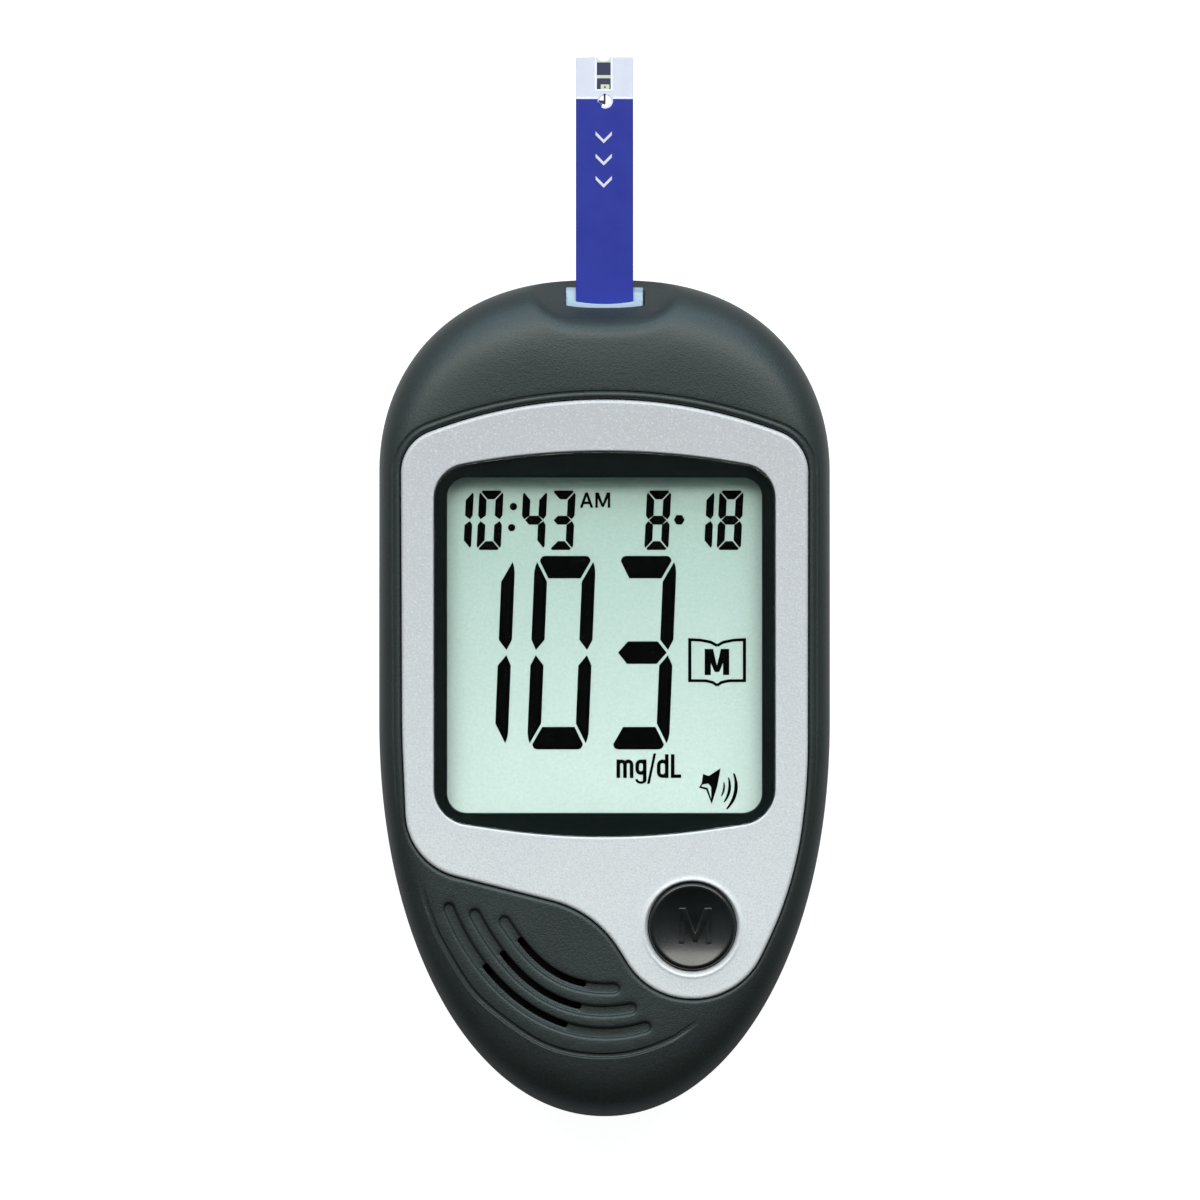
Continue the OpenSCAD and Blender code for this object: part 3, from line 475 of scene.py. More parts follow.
def strokeLoop(controls, shares, width, shift=0.0, corner=None):
    # a band of even width along part of a curve, with round ends, or square ones with rounded corners
    middle, out, along = alongCurve(controls, shares, shift)
    r = width / 2
    bend = r if corner is None else corner
    row = list(middle + out * r)
    quarter = np.linspace(0, math.pi / 2, 7)
    for end, sign in ((-1, 1), (0, -1)):
        corners = [(1, a) for a in quarter[1:6 if bend == r else 7]]
        for side, a in corners + [(-1, a + math.pi / 2) for a in quarter[:6]]:
            across = side * (r - bend) + bend * math.cos(a)
            row.append(middle[end] + sign * (out[end] * across + along[end] * bend * math.sin(a)))
        if end == -1:
            row += list((middle - out * r)[::-1])
    return turnedLeft(np.array(row))


def smoothCurve(places, step):
    # a soft curve through a few places
    p = np.array(places, float)
    p = np.vstack([2 * p[0] - p[1], p, 2 * p[-1] - p[-2]])
    row = []
    for i in range(1, len(p) - 2):
        for t in np.linspace(0, 1, 12, endpoint=False):
            row.append(0.5 * (2 * p[i] + (p[i + 1] - p[i - 1]) * t
                              + (2 * p[i - 1] - 5 * p[i] + 4 * p[i + 1] - p[i + 2]) * t ** 2
                              + (3 * p[i] - p[i - 1] - 3 * p[i + 1] + p[i + 2]) * t ** 3))
    row.append(p[-2])
    return evenly(np.array(row), step, closed=False)


scoop = {
    "start": 41.35,         # where it leaves the front, in the middle of the body
    "radius": 3.3,          # of its convex turn
    "tilt": 60,             # degrees
    "bow": (0.0072, 0.000376),      # how its edge runs back at the sides: shares of x to the 2nd and 4th
    "approach": 0.12,
    "blend": 0.5,
    "from": (36, 0.5),      # it touches only what lies further out than this, and higher over the seam
}


def scoopHeight(points):
    # a round turn over the edge, then a straight fall to the port
    square = points[:, 0] ** 2
    past = points[:, 1] - scoop["bow"][0] * square - scoop["bow"][1] * square ** 2 - scoop["start"]
    r, tilt = scoop["radius"], math.radians(scoop["tilt"])
    turn = r * math.sin(tilt)
    fall = r - np.sqrt(r * r - np.clip(past, 0, turn) ** 2)
    fall += np.where(past > turn, (past - turn) * math.tan(tilt), 0)
    fall += np.where(past < 0, past * scoop["approach"], 0)
    return body["height"] - fall


def softLower(a, b, width):
    # the lower of two heights, blended where they cross
    h = np.clip(0.5 + 0.5 * (b - a) / width, 0, 1)
    return b * (1 - h) + a * h - width * h * (1 - h)


frontLook = {
    "rimLevel": 0.90,       # below this the edge is built of rings
    "rimLevels": (0.86, 0.82, 0.78, 0.74, 0.69, 0.63, 0.56, 0.48, 0.38, 0.27, 0.15),
    # outward distance from the faceplate, and height over the case there at its upper and at its lower edge
    "lip": ((1.25, 0.0, 0.0), (1.12, -0.015, 0.0), (1.04, -0.09, 0.0), (0.97, -0.16, 0.0), (0.9, -0.09, 0.0),
            (0.83, 0.02, 0.0), (0.7, 0.075, 0.0), (0.52, 0.09, 0.0), (0.36, 0.06, -0.03), (0.24, -0.01, -0.1),
            (0.16, -0.13, -0.18), (0.12, -0.35, -0.35)),
    "grooveEdge": ((0.2, 0.0), (0.1, -0.02), (0.0, -0.08), (-0.09, -0.14), (-0.13, -0.2), (-0.16, -0.3),
                   (-0.21, -0.345), (-0.28, -0.36)),
    "lineEdge": ((-0.46, 0.0), (-0.38, -0.04), (-0.33, -0.5), (-0.28, -0.93), (-0.18, -1.0), (0.04, -0.96),
                 (0.12, -0.8), (0.18, -0.45), (0.24, -0.12), (0.32, 0.03), (0.46, 0.0)),
    "plateStep": 0.55,
    "bandStep": 0.4,
    "grid": 0.62,
    "recessGrid": 3.0,
    "clearance": 0.36,      # no loose point lies nearer to an edge
}


def edgeRows():
    # rows of points along every edge and groove of the outer face: places, heights, and whether it is closed
    rim = frontRing(frontLook["rimLevel"])
    rows = [(rim[:, :2], rim[:, 2], True)]

    def lay(row, height, closed=True):
        rows.append((row, height, closed))

    plate = evenly(plateLoop(), frontLook["plateStep"])
    upward = np.clip(0.5 + 1.5 * (shifted(plate, 1.0) - plate)[:, 1], 0, 1)
    for distance, upper, lower in frontLook["lip"]:
        loop = shifted(plate, distance)
        lay(loop, frontHeight(loop) + upper * upward + lower * (1 - upward))
    lay(shifted(plate, 0.1), np.full(len(plate), front["recess"]))
    step = frontLook["bandStep"]
    bands = [evenly(strokeLoop(c, grooves["shares"], grooves["width"]), step) for c in grooves["curves"]]
    for band in bands:
        for distance, fall in frontLook["grooveEdge"]:
            loop = shifted(band, distance)
            lay(loop, frontHeight(loop) + fall)
    slotEdge = grooves["slotWidth"] / 2 - grooves["slotShift"]
    for controls, shares in zip(grooves["curves"], grooves["slotShares"]):
        for distance, fall in grooves["slotSlope"]:
            row = evenly(alongCurve(controls, shares, slotEdge + distance)[0], step, False)
            lay(row, frontHeight(row) - grooves["depth"] - fall, False)
    line = smoothCurve(grooves["line"], 0.5)
    out = directions(line)[1]
    ends = np.linspace(0, 1, len(line))
    fade = np.clip(np.minimum(ends, 1 - ends) * grooves["lineFade"], 0, 1)
    for distance, fall in frontLook["lineEdge"]:
        row = line + out * distance
        lay(row, frontHeight(row) + fall * fade * grooves["lineDepth"], False)
    return rows, plate, bands


def looseSpots(tree, rim, plate):
    # points of an even grid between the edges, fewer of them under the faceplate
    step = frontLook["grid"]
    w, l, rise = body["halfWidth"], body["halfLength"], step * rowShare
    spots = np.array([(x + (0.5 * step if r % 2 else 0), y)
                      for r, y in enumerate(np.arange(-l, l, rise)) for x in np.arange(-w, w, step)])
    spots = spots[within(spots, rim)]
    coarse = frontLook["recessGrid"] / step
    thin = (np.round(spots[:, 0] / step * 2) % int(coarse * 2) == 0) & (
        np.round(spots[:, 1] / rise) % int(coarse) == 0)
    spots = spots[~within(spots, plate) | thin]
    return spots[np.array([tree.find((x, y, 0))[2] > frontLook["clearance"] for x, y in spots])]


def frontSkin():
    # the outer face as one sheet of triangles, whose points lie along every edge and groove
    rows, plate, bands = edgeRows()
    places = np.vstack([row for row, _, _ in rows])
    edges = []
    start = 0
    for row, _, closed in rows:
        n = len(row)
        edges += [(start + i, start + (i + 1) % n) for i in range(n if closed else n - 1)]
        start += n
    tree = kdtree.KDTree(len(places))
    for i, (x, y) in enumerate(places):
        tree.insert((x, y, 0), i)
    tree.balance()
    rim = rows[0][0]
    spots = looseSpots(tree, rim, plate)
    z = frontHeight(spots)
    z[within(spots, plate)] = front["recess"]
    for band in bands:
        z[within(spots, band)] -= grooves["depth"]
    heights = np.concatenate([height for _, height, _ in rows] + [z])

    found = delaunay_2d_cdt([Vector(p) for p in np.vstack([places, spots])], edges, [], 0, 1e-6)
    flat = np.array([v[:] for v in found[0]])
    points = [(x, y, heights[ids[0] if len(ids) else tree.find((x, y, 0))[1]])
              for (x, y), ids in zip(flat, found[3])]
    number = {ids[0]: i for i, ids in enumerate(found[3]) if len(ids)}
    triangles = np.array([f for f in found[2] if len(f) == 3])
    keep = within(flat[triangles].mean(axis=1), rim)
    faces = [tuple(int(i) for i in t) for t in triangles[keep]]

    # the edge goes on down as rings, to a small chamfer at the line where the halves meet
    n = len(rim)
    upper = [number[i] for i in range(n)]
    seam = body["seam"]
    last = frontRing(0.0)
    last[:, 2] += seam
    foot = np.column_stack([shifted(outline, -seam), np.full(n, body["split"] + body["seamGap"])])
    for ring in [frontRing(v) for v in frontLook["rimLevels"]] + [last, foot]:
        start = len(points)
        points.extend(tuple(p) for p in ring)
        faces += [(upper[i], upper[(i + 1) % n], start + (i + 1) % n, start + i) for i in range(n)]
        upper = list(range(start, start + n))
    faces.append(tuple(upper))
    points = np.array(points, float)
    near = (points[:, 1] > scoop["from"][0]) & (points[:, 2] > body["split"] + scoop["from"][1])
    points[near, 2] = softLower(points[near, 2], scoopHeight(points[near]), scoop["blend"])
    return finishMesh(meshObject("frontShell", points, faces), 30)


port = {
    "width": 9.0,
    "back": 43.0,
    "face": 46.0,
    "bow": 0.0267,          # how far the face runs forward at the sides, a share of x squared
    "step": 47.36,          # beyond this the tray is a little lower
    "stepFall": 0.06,
    "tray": 48.0,
    "top": 17.9,
    "stripLow": 16.0,
    "stripTop": 16.4,
    "gap": 0.12,
    "sideGaps": (0.03, 0.17),       # the insert sits to the left in its pocket
    "slideGap": 0.15,
    "stripPlay": 0.25,
    "lip": 0.9,
    "edge": 0.07,
    "round": 0.12,
    "flange": (1.3, 0.3, 0.4),      # how far it stands out at the sides, below and above
}
dataPort = {"y": 7.0, "width": 7.7, "height": 3.9, "top": 13.9, "to": -16.4, "gap": 0.2}
frontRoom = {
    "portBlock": ((-11.5, 42.2, 13.6), (11.5, 51, 22)),     # solid round the port
    "boss": (2.7, 11.4, 20.4),      # radius, low end, high end
    "pilot": (1.16, 10, 17.8),
    "buttonHole": 5.25,
    "through": (14, 24),    # heights between which holes in the face are cut
    "slots": (15, 24),
    "flangeRoom": (1.5, 1.2, 0.6),
    "notch": (0.45, 52, 21),        # below the strip, to the end, to the top
}


def dataPortCutter(name):
    gap, half = dataPort["gap"], dataPort["width"] / 2
    y, z = dataPort["y"], dataPort["top"]
    low = (-body["halfWidth"] - 2, y - half - gap, z - dataPort["height"] - gap)
    return block(name, low, (dataPort["to"], y + half + gap, z + gap))


def buildFrontCase():
    d = frontRoom
    shell = frontSkin()
    print("front skin:", len(shell.data.polygons), "faces")
    room = frontCavity()
    bosses = [drum("boss", place, *d["boss"]) for place in front["screws"]]
    combine(room, [block("portBlock", *d["portBlock"])] + bosses)
    half, gap, back, tray, top = port["width"] / 2, port["gap"], port["back"], port["tray"], port["top"]
    left, right = -half - port["sideGaps"][0], half + port["sideGaps"][1]
    floor = port["stripLow"] - port["slideGap"] - port["lip"]
    (side, under, over), (notchUnder, notchEnd, notchTop) = d["flangeRoom"], d["notch"]
    tools = [
        room,
        slab("displayHole", displayLoop(0.02), [(0, z) for z in d["through"]]),
        drum("buttonHole", front["button"], d["buttonHole"], *d["through"], 96),
        block("portPocket", (left, back, floor - gap), (right, tray + gap, top + gap)),
        block("portRoom", (-half - side, back - 3, floor - under), (half + side, back + 1.1, top + over)),
        block("stripNotch", (left, tray - 1, port["stripLow"] - notchUnder), (right, notchEnd, notchTop)),
        dataPortCutter("frontDataPort"),
    ]
    for controls, shares in zip(grooves["curves"], grooves["slotShares"]):
        loop = strokeLoop(controls, shares, grooves["slotWidth"], -grooves["slotShift"],
                          grooves["slotCorner"])
        tools.append(slab("speakerSlot", loop, [(0, z) for z in d["slots"]]))
    tools += [drum("pilot", place, *d["pilot"], 32) for place in front["screws"]]
    combine(shell, tools)
    shell.name = "frontShell"
    return finishMesh(shell, 30)


print("building the front case")
frontShell = buildFrontCase()
print("front case:", len(frontShell.data.polygons), "faces")


# The faceplate, with room for the window and the button

plateLook = {
    "edge": 0.42, "holeRadius": 5.17, "windowGap": 0.1,
    # the low bead round the button: distance from the hole, height over the plate, and how far it lies back
    "bead": ((0, -0.5, 0), (0.06, -0.4, 0.03), (0.12, -0.3, 0.06), (0.18, -0.2, 0.1), (0.24, -0.1, 0.14),
             (0.3, -0.02, 0.17), (0.36, 0.04, 0.19), (0.43, 0.078, 0.2), (0.5, 0.085, 0.2), (0.58, 0.07, 0.2),
             (0.68, 0.042, 0.18), (0.78, 0.018, 0.14), (0.9, 0.004, 0.08), (1.02, 0, 0)),
}


def buildFaceplate():
    low, top = front["plateLow"], front["plateTop"]
    x, y = front["button"]
    bead = [(shift, top + rise, back) for shift, rise, back in plateLook["bead"]]
    button = (circleLoop(x, y, plateLook["holeRadius"], 128), [(0, low)] + bead)
    window = (evenly(windowLoop(), 0.4), holeRows(low, top, 0, 0.14))
    window = (shifted(window[0], plateLook["windowGap"]), window[1])
    return slab("facePlate", evenly(plateLoop(), 0.4), roundedProfile(low, top, 0, plateLook["edge"], 7),
                [button, window])


facePlate = buildFaceplate()


# The window: a clear pane over a black printed border

windowLook = {
    "paneLow": 21.2, "borderLow": 20.92, "borderTop": 21.18, "edge": 0.12, "clear": 0.08, "step": 0.4,
}


def buildWindow():
    d = windowLook
    loop = evenly(windowLoop(), d["step"])
    pane = slab("windowPane", loop, roundedProfile(d["paneLow"], front["windowTop"], 0, d["edge"], 3))
    rows = [(0, d["borderLow"]), (0, d["borderTop"])]
    hole = evenly(displayLoop(d["clear"]), d["step"])
    return pane, slab("windowBorder", loop, rows, [(hole, rows)])


windowPane, windowBorder = buildWindow()


# The display: a glass with dark segments that stand a hair above it

display = {
    "size": (41.2, 45.5),
    "low": 16.6,
    "face": 18.3,
    "marks": 18.335,
    "big": {"width": 7.13, "height": 22.57, "bar": 1.54, "cross": 2.62, "slant": 0.0415,
            "tip": 0.29, "tipDrop": 0.70, "innerDrop": 3.02, "shoulder": 1.9,
            "capTip": 0.61, "capStart": 1.15, "capInner": 1.68,
            "midTip": 0.58, "midGap": 0.3, "midShoulder": 1.5, "dashTip": 0.72, "dashShoulder": 1.82},
    "small": {"width": 2.83, "height": 6.94, "bar": 0.9, "cross": 1.03, "slant": 0.05,
              "tip": 0.13, "tipDrop": 0.24, "innerDrop": 1.12, "shoulder": 0.5,
              "capTip": 0.26, "capStart": 0.42, "capInner": 1.02,
              "midTip": 0.3, "midGap": 0.1, "midShoulder": 0.55, "dashTip": 0.4, "dashShoulder": 0.88},
    "units": {"foot": -9.29, "bowl": -8.94, "waist": -7.14, "head": -6.53, "tail": -9.98, "stroke": 0.43,
              "m": (1.39, 3.37), "g": (3.6, 4.9), "slash": (4.96, 6.02), "d": (6.1, 7.47), "l": (7.73, 8.95)},
    # each digit: which one, the left of its box at the foot, its foot
    "bigDigits": (("1", -18.46, -5.96), ("0", -9.06, -5.96), ("3", 0.375, -5.96)),
    "smallDigits": (("1", -18.41, 17.3), ("0", -14.94, 17.3), ("4", -9.84, 17.3), ("3", -6.52, 17.3),
                    ("8", 4.62, 17.3), ("1", 9.67, 17.3), ("8", 13.06, 17.3)),
    "dots": ((-10.63, 22.36, 0.43, 24), (-10.84, 19.9, 0.43, 24), (8.71, 20.82, 0.64, 6)),
    "halfDay": (22.22, 24.0, 0.3),      # foot, head and stroke of the two letters after the time
    "halfDayA": (-2.88, -1.31),
    "halfDayM": (-1.08, 0.67),
    # the open book: its middle, then one of its halves as lines, each with its width
    "bookMiddle": 13.13,
    "book": ((((3.19, 6.99), (3.19, 1.9)), 0.38),
             (((3.37, 6.85), (1.9, 6.78), (0.75, 6.55), (0, 6.15)), 0.34),
             (((3.37, 2.06), (1.3, 2.04), (0.5, 1.85), (0, 1.5)), 0.34)),
    "bookM": ((11.68, 2.71), (14.54, 5.76), 0.72, 0.12, 0.36),
    # the speaker: its waves are radius, first and last angle, width
    "waveMiddle": (11.5, -10.2),
    "waves": ((3.85, 22, -45, 0.42), (3.1, 18, -38, 0.34), (2.45, 10, -30, 0.24)),
    "horn": ((11.48, -8.82), (12.15, -9.06), (13.55, -8.15), (13.14, -10.3), (12.5, -12.34), (11.86, -10.68),
             (11.02, -10.42), (11.34, -9.9)),
    "hornSlit": ((11.48, -10.04), (12.12, -9.96), (12.44, -10.39), (12.44, -11.7), (12.03, -10.45),
                 (11.28, -10.28)),
}
segmentsOf = {"0": "abcdef", "1": "bc", "3": "abcdg", "4": "bcfg", "8": "abcdefg"}


def segmentShapes(d):
    # the seven segments as outlines in a box from (0, 0) to (width, height)
    w, h, m = d["width"], d["height"], d["height"] / 2
    bar, cross = d["bar"], d["cross"]
    upperLeft = [(d["midTip"], m + d["midGap"]), (bar, m + d["midShoulder"]), (bar, h - d["innerDrop"]),
                 (d["tip"], h - d["tipDrop"]), (d["tip"] * 0.35, h - d["tipDrop"] - 0.3 * d["shoulder"]),
                 (0, h - d["shoulder"]), (0, m + d["midShoulder"])]
    inner, tip, drop = d["capInner"], d["capTip"], d["tipDrop"]
    cap = [(inner, h - cross), (w - inner, h - cross)]
    cap += [(w - tip - (d["capStart"] - tip) * s, h - drop * r)
            for s, r in ((0, 0.88), (0.12, 0.5), (0.45, 0.14), (1, 0))]
    cap += [(w - x, y) for x, y in cap[:1:-1]]
    dash = [(d["dashTip"], m), (d["dashShoulder"], m - cross / 2), (w - d["dashShoulder"], m - cross / 2),
            (w - d["dashTip"], m), (w - d["dashShoulder"], m + cross / 2), (d["dashShoulder"], m + cross / 2)]

    def flipped(shape, across, up):
        return [(w - x if across else x, h - y if up else y) for x, y in shape]

    return {"a": cap, "d": flipped(cap, False, True), "g": dash,
            "f": upperLeft, "b": flipped(upperLeft, True, False),
            "e": flipped(upperLeft, False, True), "c": flipped(upperLeft, True, True)}


def digitLoops(digits, look):
    shapes = segmentShapes(look)
    return [turnedLeft(np.array([(left + x + look["slant"] * y, foot + y) for x, y in shapes[s]]))
            for digit, left, foot in digits for s in segmentsOf[digit]]


def prisms(name, loops, low, high):
    # upright prisms, one on each outline
    points, faces = [], []
    for loop in loops:
        n, start = len(loop), len(points)
        points += [(x, y, z) for z in (low, high) for x, y in loop]
        for first in (start, start + n):
            faces += flatCap(points, [list(range(first, first + n))])
        faces += wallFaces(start, 2, n)
    return finishMesh(meshObject(name, points, faces))


def band(places, width):
    # a line of even width with square ends, mitred at its bends
    p = np.array(places, float)
    out = directions(p)[1] * width / 2
    return turnedLeft(np.vstack([p + out, (p - out)[::-1]]))


def arcBand(centre, radius, fromDeg, toDeg, width):
    # a curved line that thins towards its ends
    a = np.radians(np.linspace(fromDeg, toDeg, 18))
    fat = width / 2 * (0.35 + 0.65 * np.sin(np.linspace(0.12, math.pi - 0.12, 18)))
    out = np.stack([np.cos(a), np.sin(a)], axis=1)
    outer = np.array(centre) + out * (radius + fat)[:, None]
    inner = np.array(centre) + out * (radius - fat)[:, None]
    return turnedLeft(np.vstack([outer, inner[::-1]]))


def letterA(low, high, stroke):
    # a capital A as three bars
    w, h = high[0] - low[0], high[1] - low[1]
    leg = [(0, 0), (w / 2 - stroke * 0.55, h), (w / 2 + stroke * 0.55, h), (stroke * 1.05, 0)]
    foot = h * 0.24
    cross = [(w * 0.22, foot), (w * 0.78, foot), (w * 0.7, foot + stroke), (w * 0.3, foot + stroke)]
    return [turnedLeft(np.array(row) + np.array(low)) for row in (leg, [(w - x, y) for x, y in leg], cross)]


def arch(left, right, low, high, stroke):
    # an upright arch: two legs under a half circle, or its lower end when low and high change places
    r = (right - left - stroke) / 2
    up = np.sign(high - low)
    rise = min(r, abs(high - low) - stroke / 2 - 0.08)
    turn = high - (rise + stroke / 2) * up
    row = [(left + stroke / 2, low)]
    for a in np.linspace(math.pi, 0, 13):
        row.append(((left + right) / 2 + r * math.cos(a), turn + rise * math.sin(a) * up))
    return band(row + [(right - stroke / 2, low)], stroke)


def bar(left, right, low, high):
    return np.array([(left, low), (right, low), (right, high), (left, high)])


def unitLoops(look):
    # the unit of the reading in bold narrow letters, as outlines that overlap
    foot, waist, head, tail, s = look["foot"], look["waist"], look["head"], look["tail"], look["stroke"]
    m, g, d, l = look["m"], look["g"], look["d"], look["l"]
    middle = (m[0] + m[1]) / 2
    loops = [bar(m[0], m[0] + s, foot, waist),
             arch(m[0], middle + s / 2, foot, waist, s), arch(middle - s / 2, m[1], foot, waist, s)]
    for (left, right), low in ((g, look["bowl"]), (d, foot)):
        loops += [arch(left, right, (low + waist) / 2 - 0.01, waist, s),
                  arch(left, right, (low + waist) / 2 + 0.01, low, s)]
    hook = s * 0.7
    loops += [bar(g[1] - s, g[1], tail + hook, waist), arch(g[0], g[1], tail + hook * 1.85, tail, hook),
              bar(d[1] - s, d[1], foot, head),
              bar(l[0], l[0] + s, foot, head), bar(l[0], l[1], foot, foot + s * 0.95)]
    (x0, x1), lean = look["slash"], s * 0.72
    loops.append(np.array([(x0, tail), (x0 + lean, tail), (x1, head + 0.1), (x1 - lean, head + 0.1)]))
    return [turnedLeft(np.array(loop)) for loop in loops]


def fused(loops, heights):
    # outlines that overlap, as one solid
    first, *others = [prisms("line", [loop], *heights) for loop in loops]
    return combine(first, others, "UNION")


def letterM(low, high, stem, foot=0.05, notch=0.29):
    # a plain capital M as one outline
    w, h = high[0] - low[0], high[1] - low[1]
    half = [(0, 0), (0, h), (stem * 1.35, h), (w / 2, h * notch)]
    inner = [(w / 2 - stem * 0.38, h * foot), (stem, h - stem * 2.3), (stem, 0)]
    row = half + [(w - x, y) for x, y in half[-2::-1]]
    row += [(w - x, y) for x, y in inner[::-1]] + inner
    return turnedLeft(np.array(row) + np.array(low))


def buildDisplay():
    d = display
    (w, h), (x, y) = d["size"], front["displayMiddle"]
    glass = slab("displayGlass", boxLoop((x - w / 2, y - h / 2), (x + w / 2, y + h / 2), 0.5),
                 roundedProfile(d["low"], d["face"], 0.1, 0.1, 2))
    heights = (d["face"] - 0.01, d["marks"])
    rows = [(0, z) for z in heights]
    shapes = digitLoops(d["bigDigits"], d["big"]) + digitLoops(d["smallDigits"], d["small"])
    shapes += [circleLoop(*dot) for dot in d["dots"]]
    shapes += [arcBand(d["waveMiddle"], *wave) for wave in d["waves"]]
    book = [turnedLeft(band([(d["bookMiddle"] + side * v, z) for v, z in row], width))
            for side in (-1, 1) for row, width in d["book"]]
    horn, slit = (turnedLeft(np.array(d[name])) for name in ("horn", "hornSlit"))
    foot, head, stroke = d["halfDay"]
    (aLeft, aRight), (mLeft, mRight) = d["halfDayA"], d["halfDayM"]
    parts = [
        prisms("shapes", shapes, *heights),
        fused(book, heights),
        slab("horn", horn, rows, [(slit, rows)]),
        prisms("bookM", [letterM(*d["bookM"])], *heights),
        fused(letterA((aLeft, foot), (aRight, head), stroke), heights),
        prisms("hoursM", [letterM((mLeft, foot), (mRight, head), stroke)], *heights),
        fused(unitLoops(d["units"]), heights),
    ]
    return glass, joined("displayMarks", parts)


displayGlass, displayMarks = buildDisplay()
print("display marks:", len(displayMarks.data.polygons), "faces")


# The memory button, dished, with a raised letter

keyLook = {
    "face": 22.33, "dish": 0.74, "rim": 0.42, "radius": 5.08, "rimTurn": (0, 18, 36, 54, 72, 88),
    "stem": ((0, 18.16), (1.98, 18.16), (1.98, 19.12), (5.96, 19.12), (5.96, 19.68)),   # radius and height
    "dishShares": (1, 0.95, 0.88, 0.78, 0.65, 0.5, 0.34, 0.17, 0),
    "letterStem": 0.62, "letterLow": (8.62, -28.5), "letterHigh": (12.46, -24.4), "letterStep": 0.42,
    # walls of the letter: outward shift, and height over the dish
    "letterWall": ((0.05, -0.3), (0.05, -0.02), (-0.01, 0.025), (-0.06, 0.05), (-0.1, 0.056)),
}


def buildKey():
    d = keyLook
    face, rim, radius = d["face"], d["rim"], d["radius"]
    flat = radius - rim - 0.12

    def dishHeight(share):
        return face - 0.02 - d["dish"] * (1 - share * share)

    rows = list(d["stem"]) + [(radius, d["stem"][-1][1])]
    rows += [(radius + rim * (math.cos(a) - 1), face + rim * (math.sin(a) - 1))
             for a in np.radians(d["rimTurn"])]
    rows += [(flat * s, dishHeight(s)) for s in d["dishShares"]]
    key = turned("memoryKey", rows, front["button"], 128)
    corners = letterM(d["letterLow"], d["letterHigh"], d["letterStem"])
    shape = []
    for a, b in zip(corners, np.roll(corners, -1, axis=0)):
        parts = max(1, int(np.linalg.norm(b - a) / d["letterStep"]))
        shape += [a + (b - a) * i / parts for i in range(parts)]
    letter = slab("keyLetter", np.array(shape), d["letterWall"])
    for point in letter.data.vertices:    # laid over the dish
        away = math.hypot(point.co.x / mm - front["button"][0], point.co.y / mm - front["button"][1])
        point.co.z += dishHeight(away / flat) * mm
    combine(key, [letter], "UNION")
    key.name = "memoryKey"
    return finishMesh(key, 28)


memoryKey = buildKey()


# The insert that guides the strip, and the strip

stripLook = {
    "half": 3.35, "from": 38.1, "to": 74.9, "low": 16.0, "base": 16.3, "print": 16.34,
    "corner": 0.12, "notch": 0.42, "whiteFrom": 70.0,
    "vent": (0.09, 69.8), "ventRadius": 0.9, "ventHole": 0.22, "ventRing": 0.2,
    "channel": (-0.9, 0.71), "channelFrom": 71.15,
    "chamber": (72.43, 72.81, 74.28),   # where the channel's dark foot, pale bar and dark window end
    "pad": (-0.44, 0.56, 71.72), "dot": (0.04, 71.4, 0.13, 16),
    "line": (0.02, 0.24, 0.2),      # bright lines: from and to beside an edge, and how far they run past it
    # what shows in the vent, measured from its middle: a dark upright with a foot, and a blue corner
    "upright": ((-0.82, 0.06), (-0.64, -0.34), (-0.3, -0.34), (-0.12, -0.48), (0.04, -0.34), (0.04, 0.84),
                (-0.2, 0.84), (-0.2, 0.06)),
    "blueCorner": ((-0.84, -0.02), (-0.88, -0.3), (-0.7, -0.62), (-0.46, -0.8), (-0.42, -0.5), (-0.26, -0.36),
                   (-0.64, -0.36)),
    "arrows": (66.2, 63.6, 61.0), "arrowHalf": 0.95, "arrowStroke": 0.42,
    # how far each sort of print stands over the layer below
    "over": {"line": 0.008, "corner": 0.01, "upright": 0.012, "arrow": 0.025},
}


def buildPort():
    d = port
    half, back, face, tray = d["width"] / 2, d["back"], d["face"], d["tray"]
    lipTop = d["stripLow"] - d["slideGap"]
    lip = lipTop - d["lip"]
    side, under, over = d["flange"]
    loop = [(-half, back), (half, back)]
    loop += [(x, face + d["bow"] * x * x) for x in np.linspace(half, -half, 25)]
    insert = slab("portInsert", np.array(loop), roundedProfile(lip, d["top"], d["edge"], d["edge"], 3)[1:-1])
    shelf = block("shelf", (-half, back + 0.02, lip + 0.01), (half, tray, lipTop), d["round"])
    flange = block("flange", (-half - side, back - 0.1, lip - under),
                   (half + side, back + 0.9, d["top"] + over), d["round"])
    combine(insert, [shelf, flange], "UNION")
    slotHalf = stripLook["half"] + d["stripPlay"]
    slot = block("slot", (-slotHalf, back - 1, lipTop), (slotHalf, face + 3, d["stripTop"] + 0.2))
    step = slab("step", boxLoop((-half - 1, d["step"]), (half + 1, tray + 1), 0.1),
                [(0, lipTop - d["stepFall"]), (0.1, lipTop), (0.1, lipTop + 1)])
    combine(insert, [slot, step])
    insert.name = "portInsert"
    return finishMesh(insert)


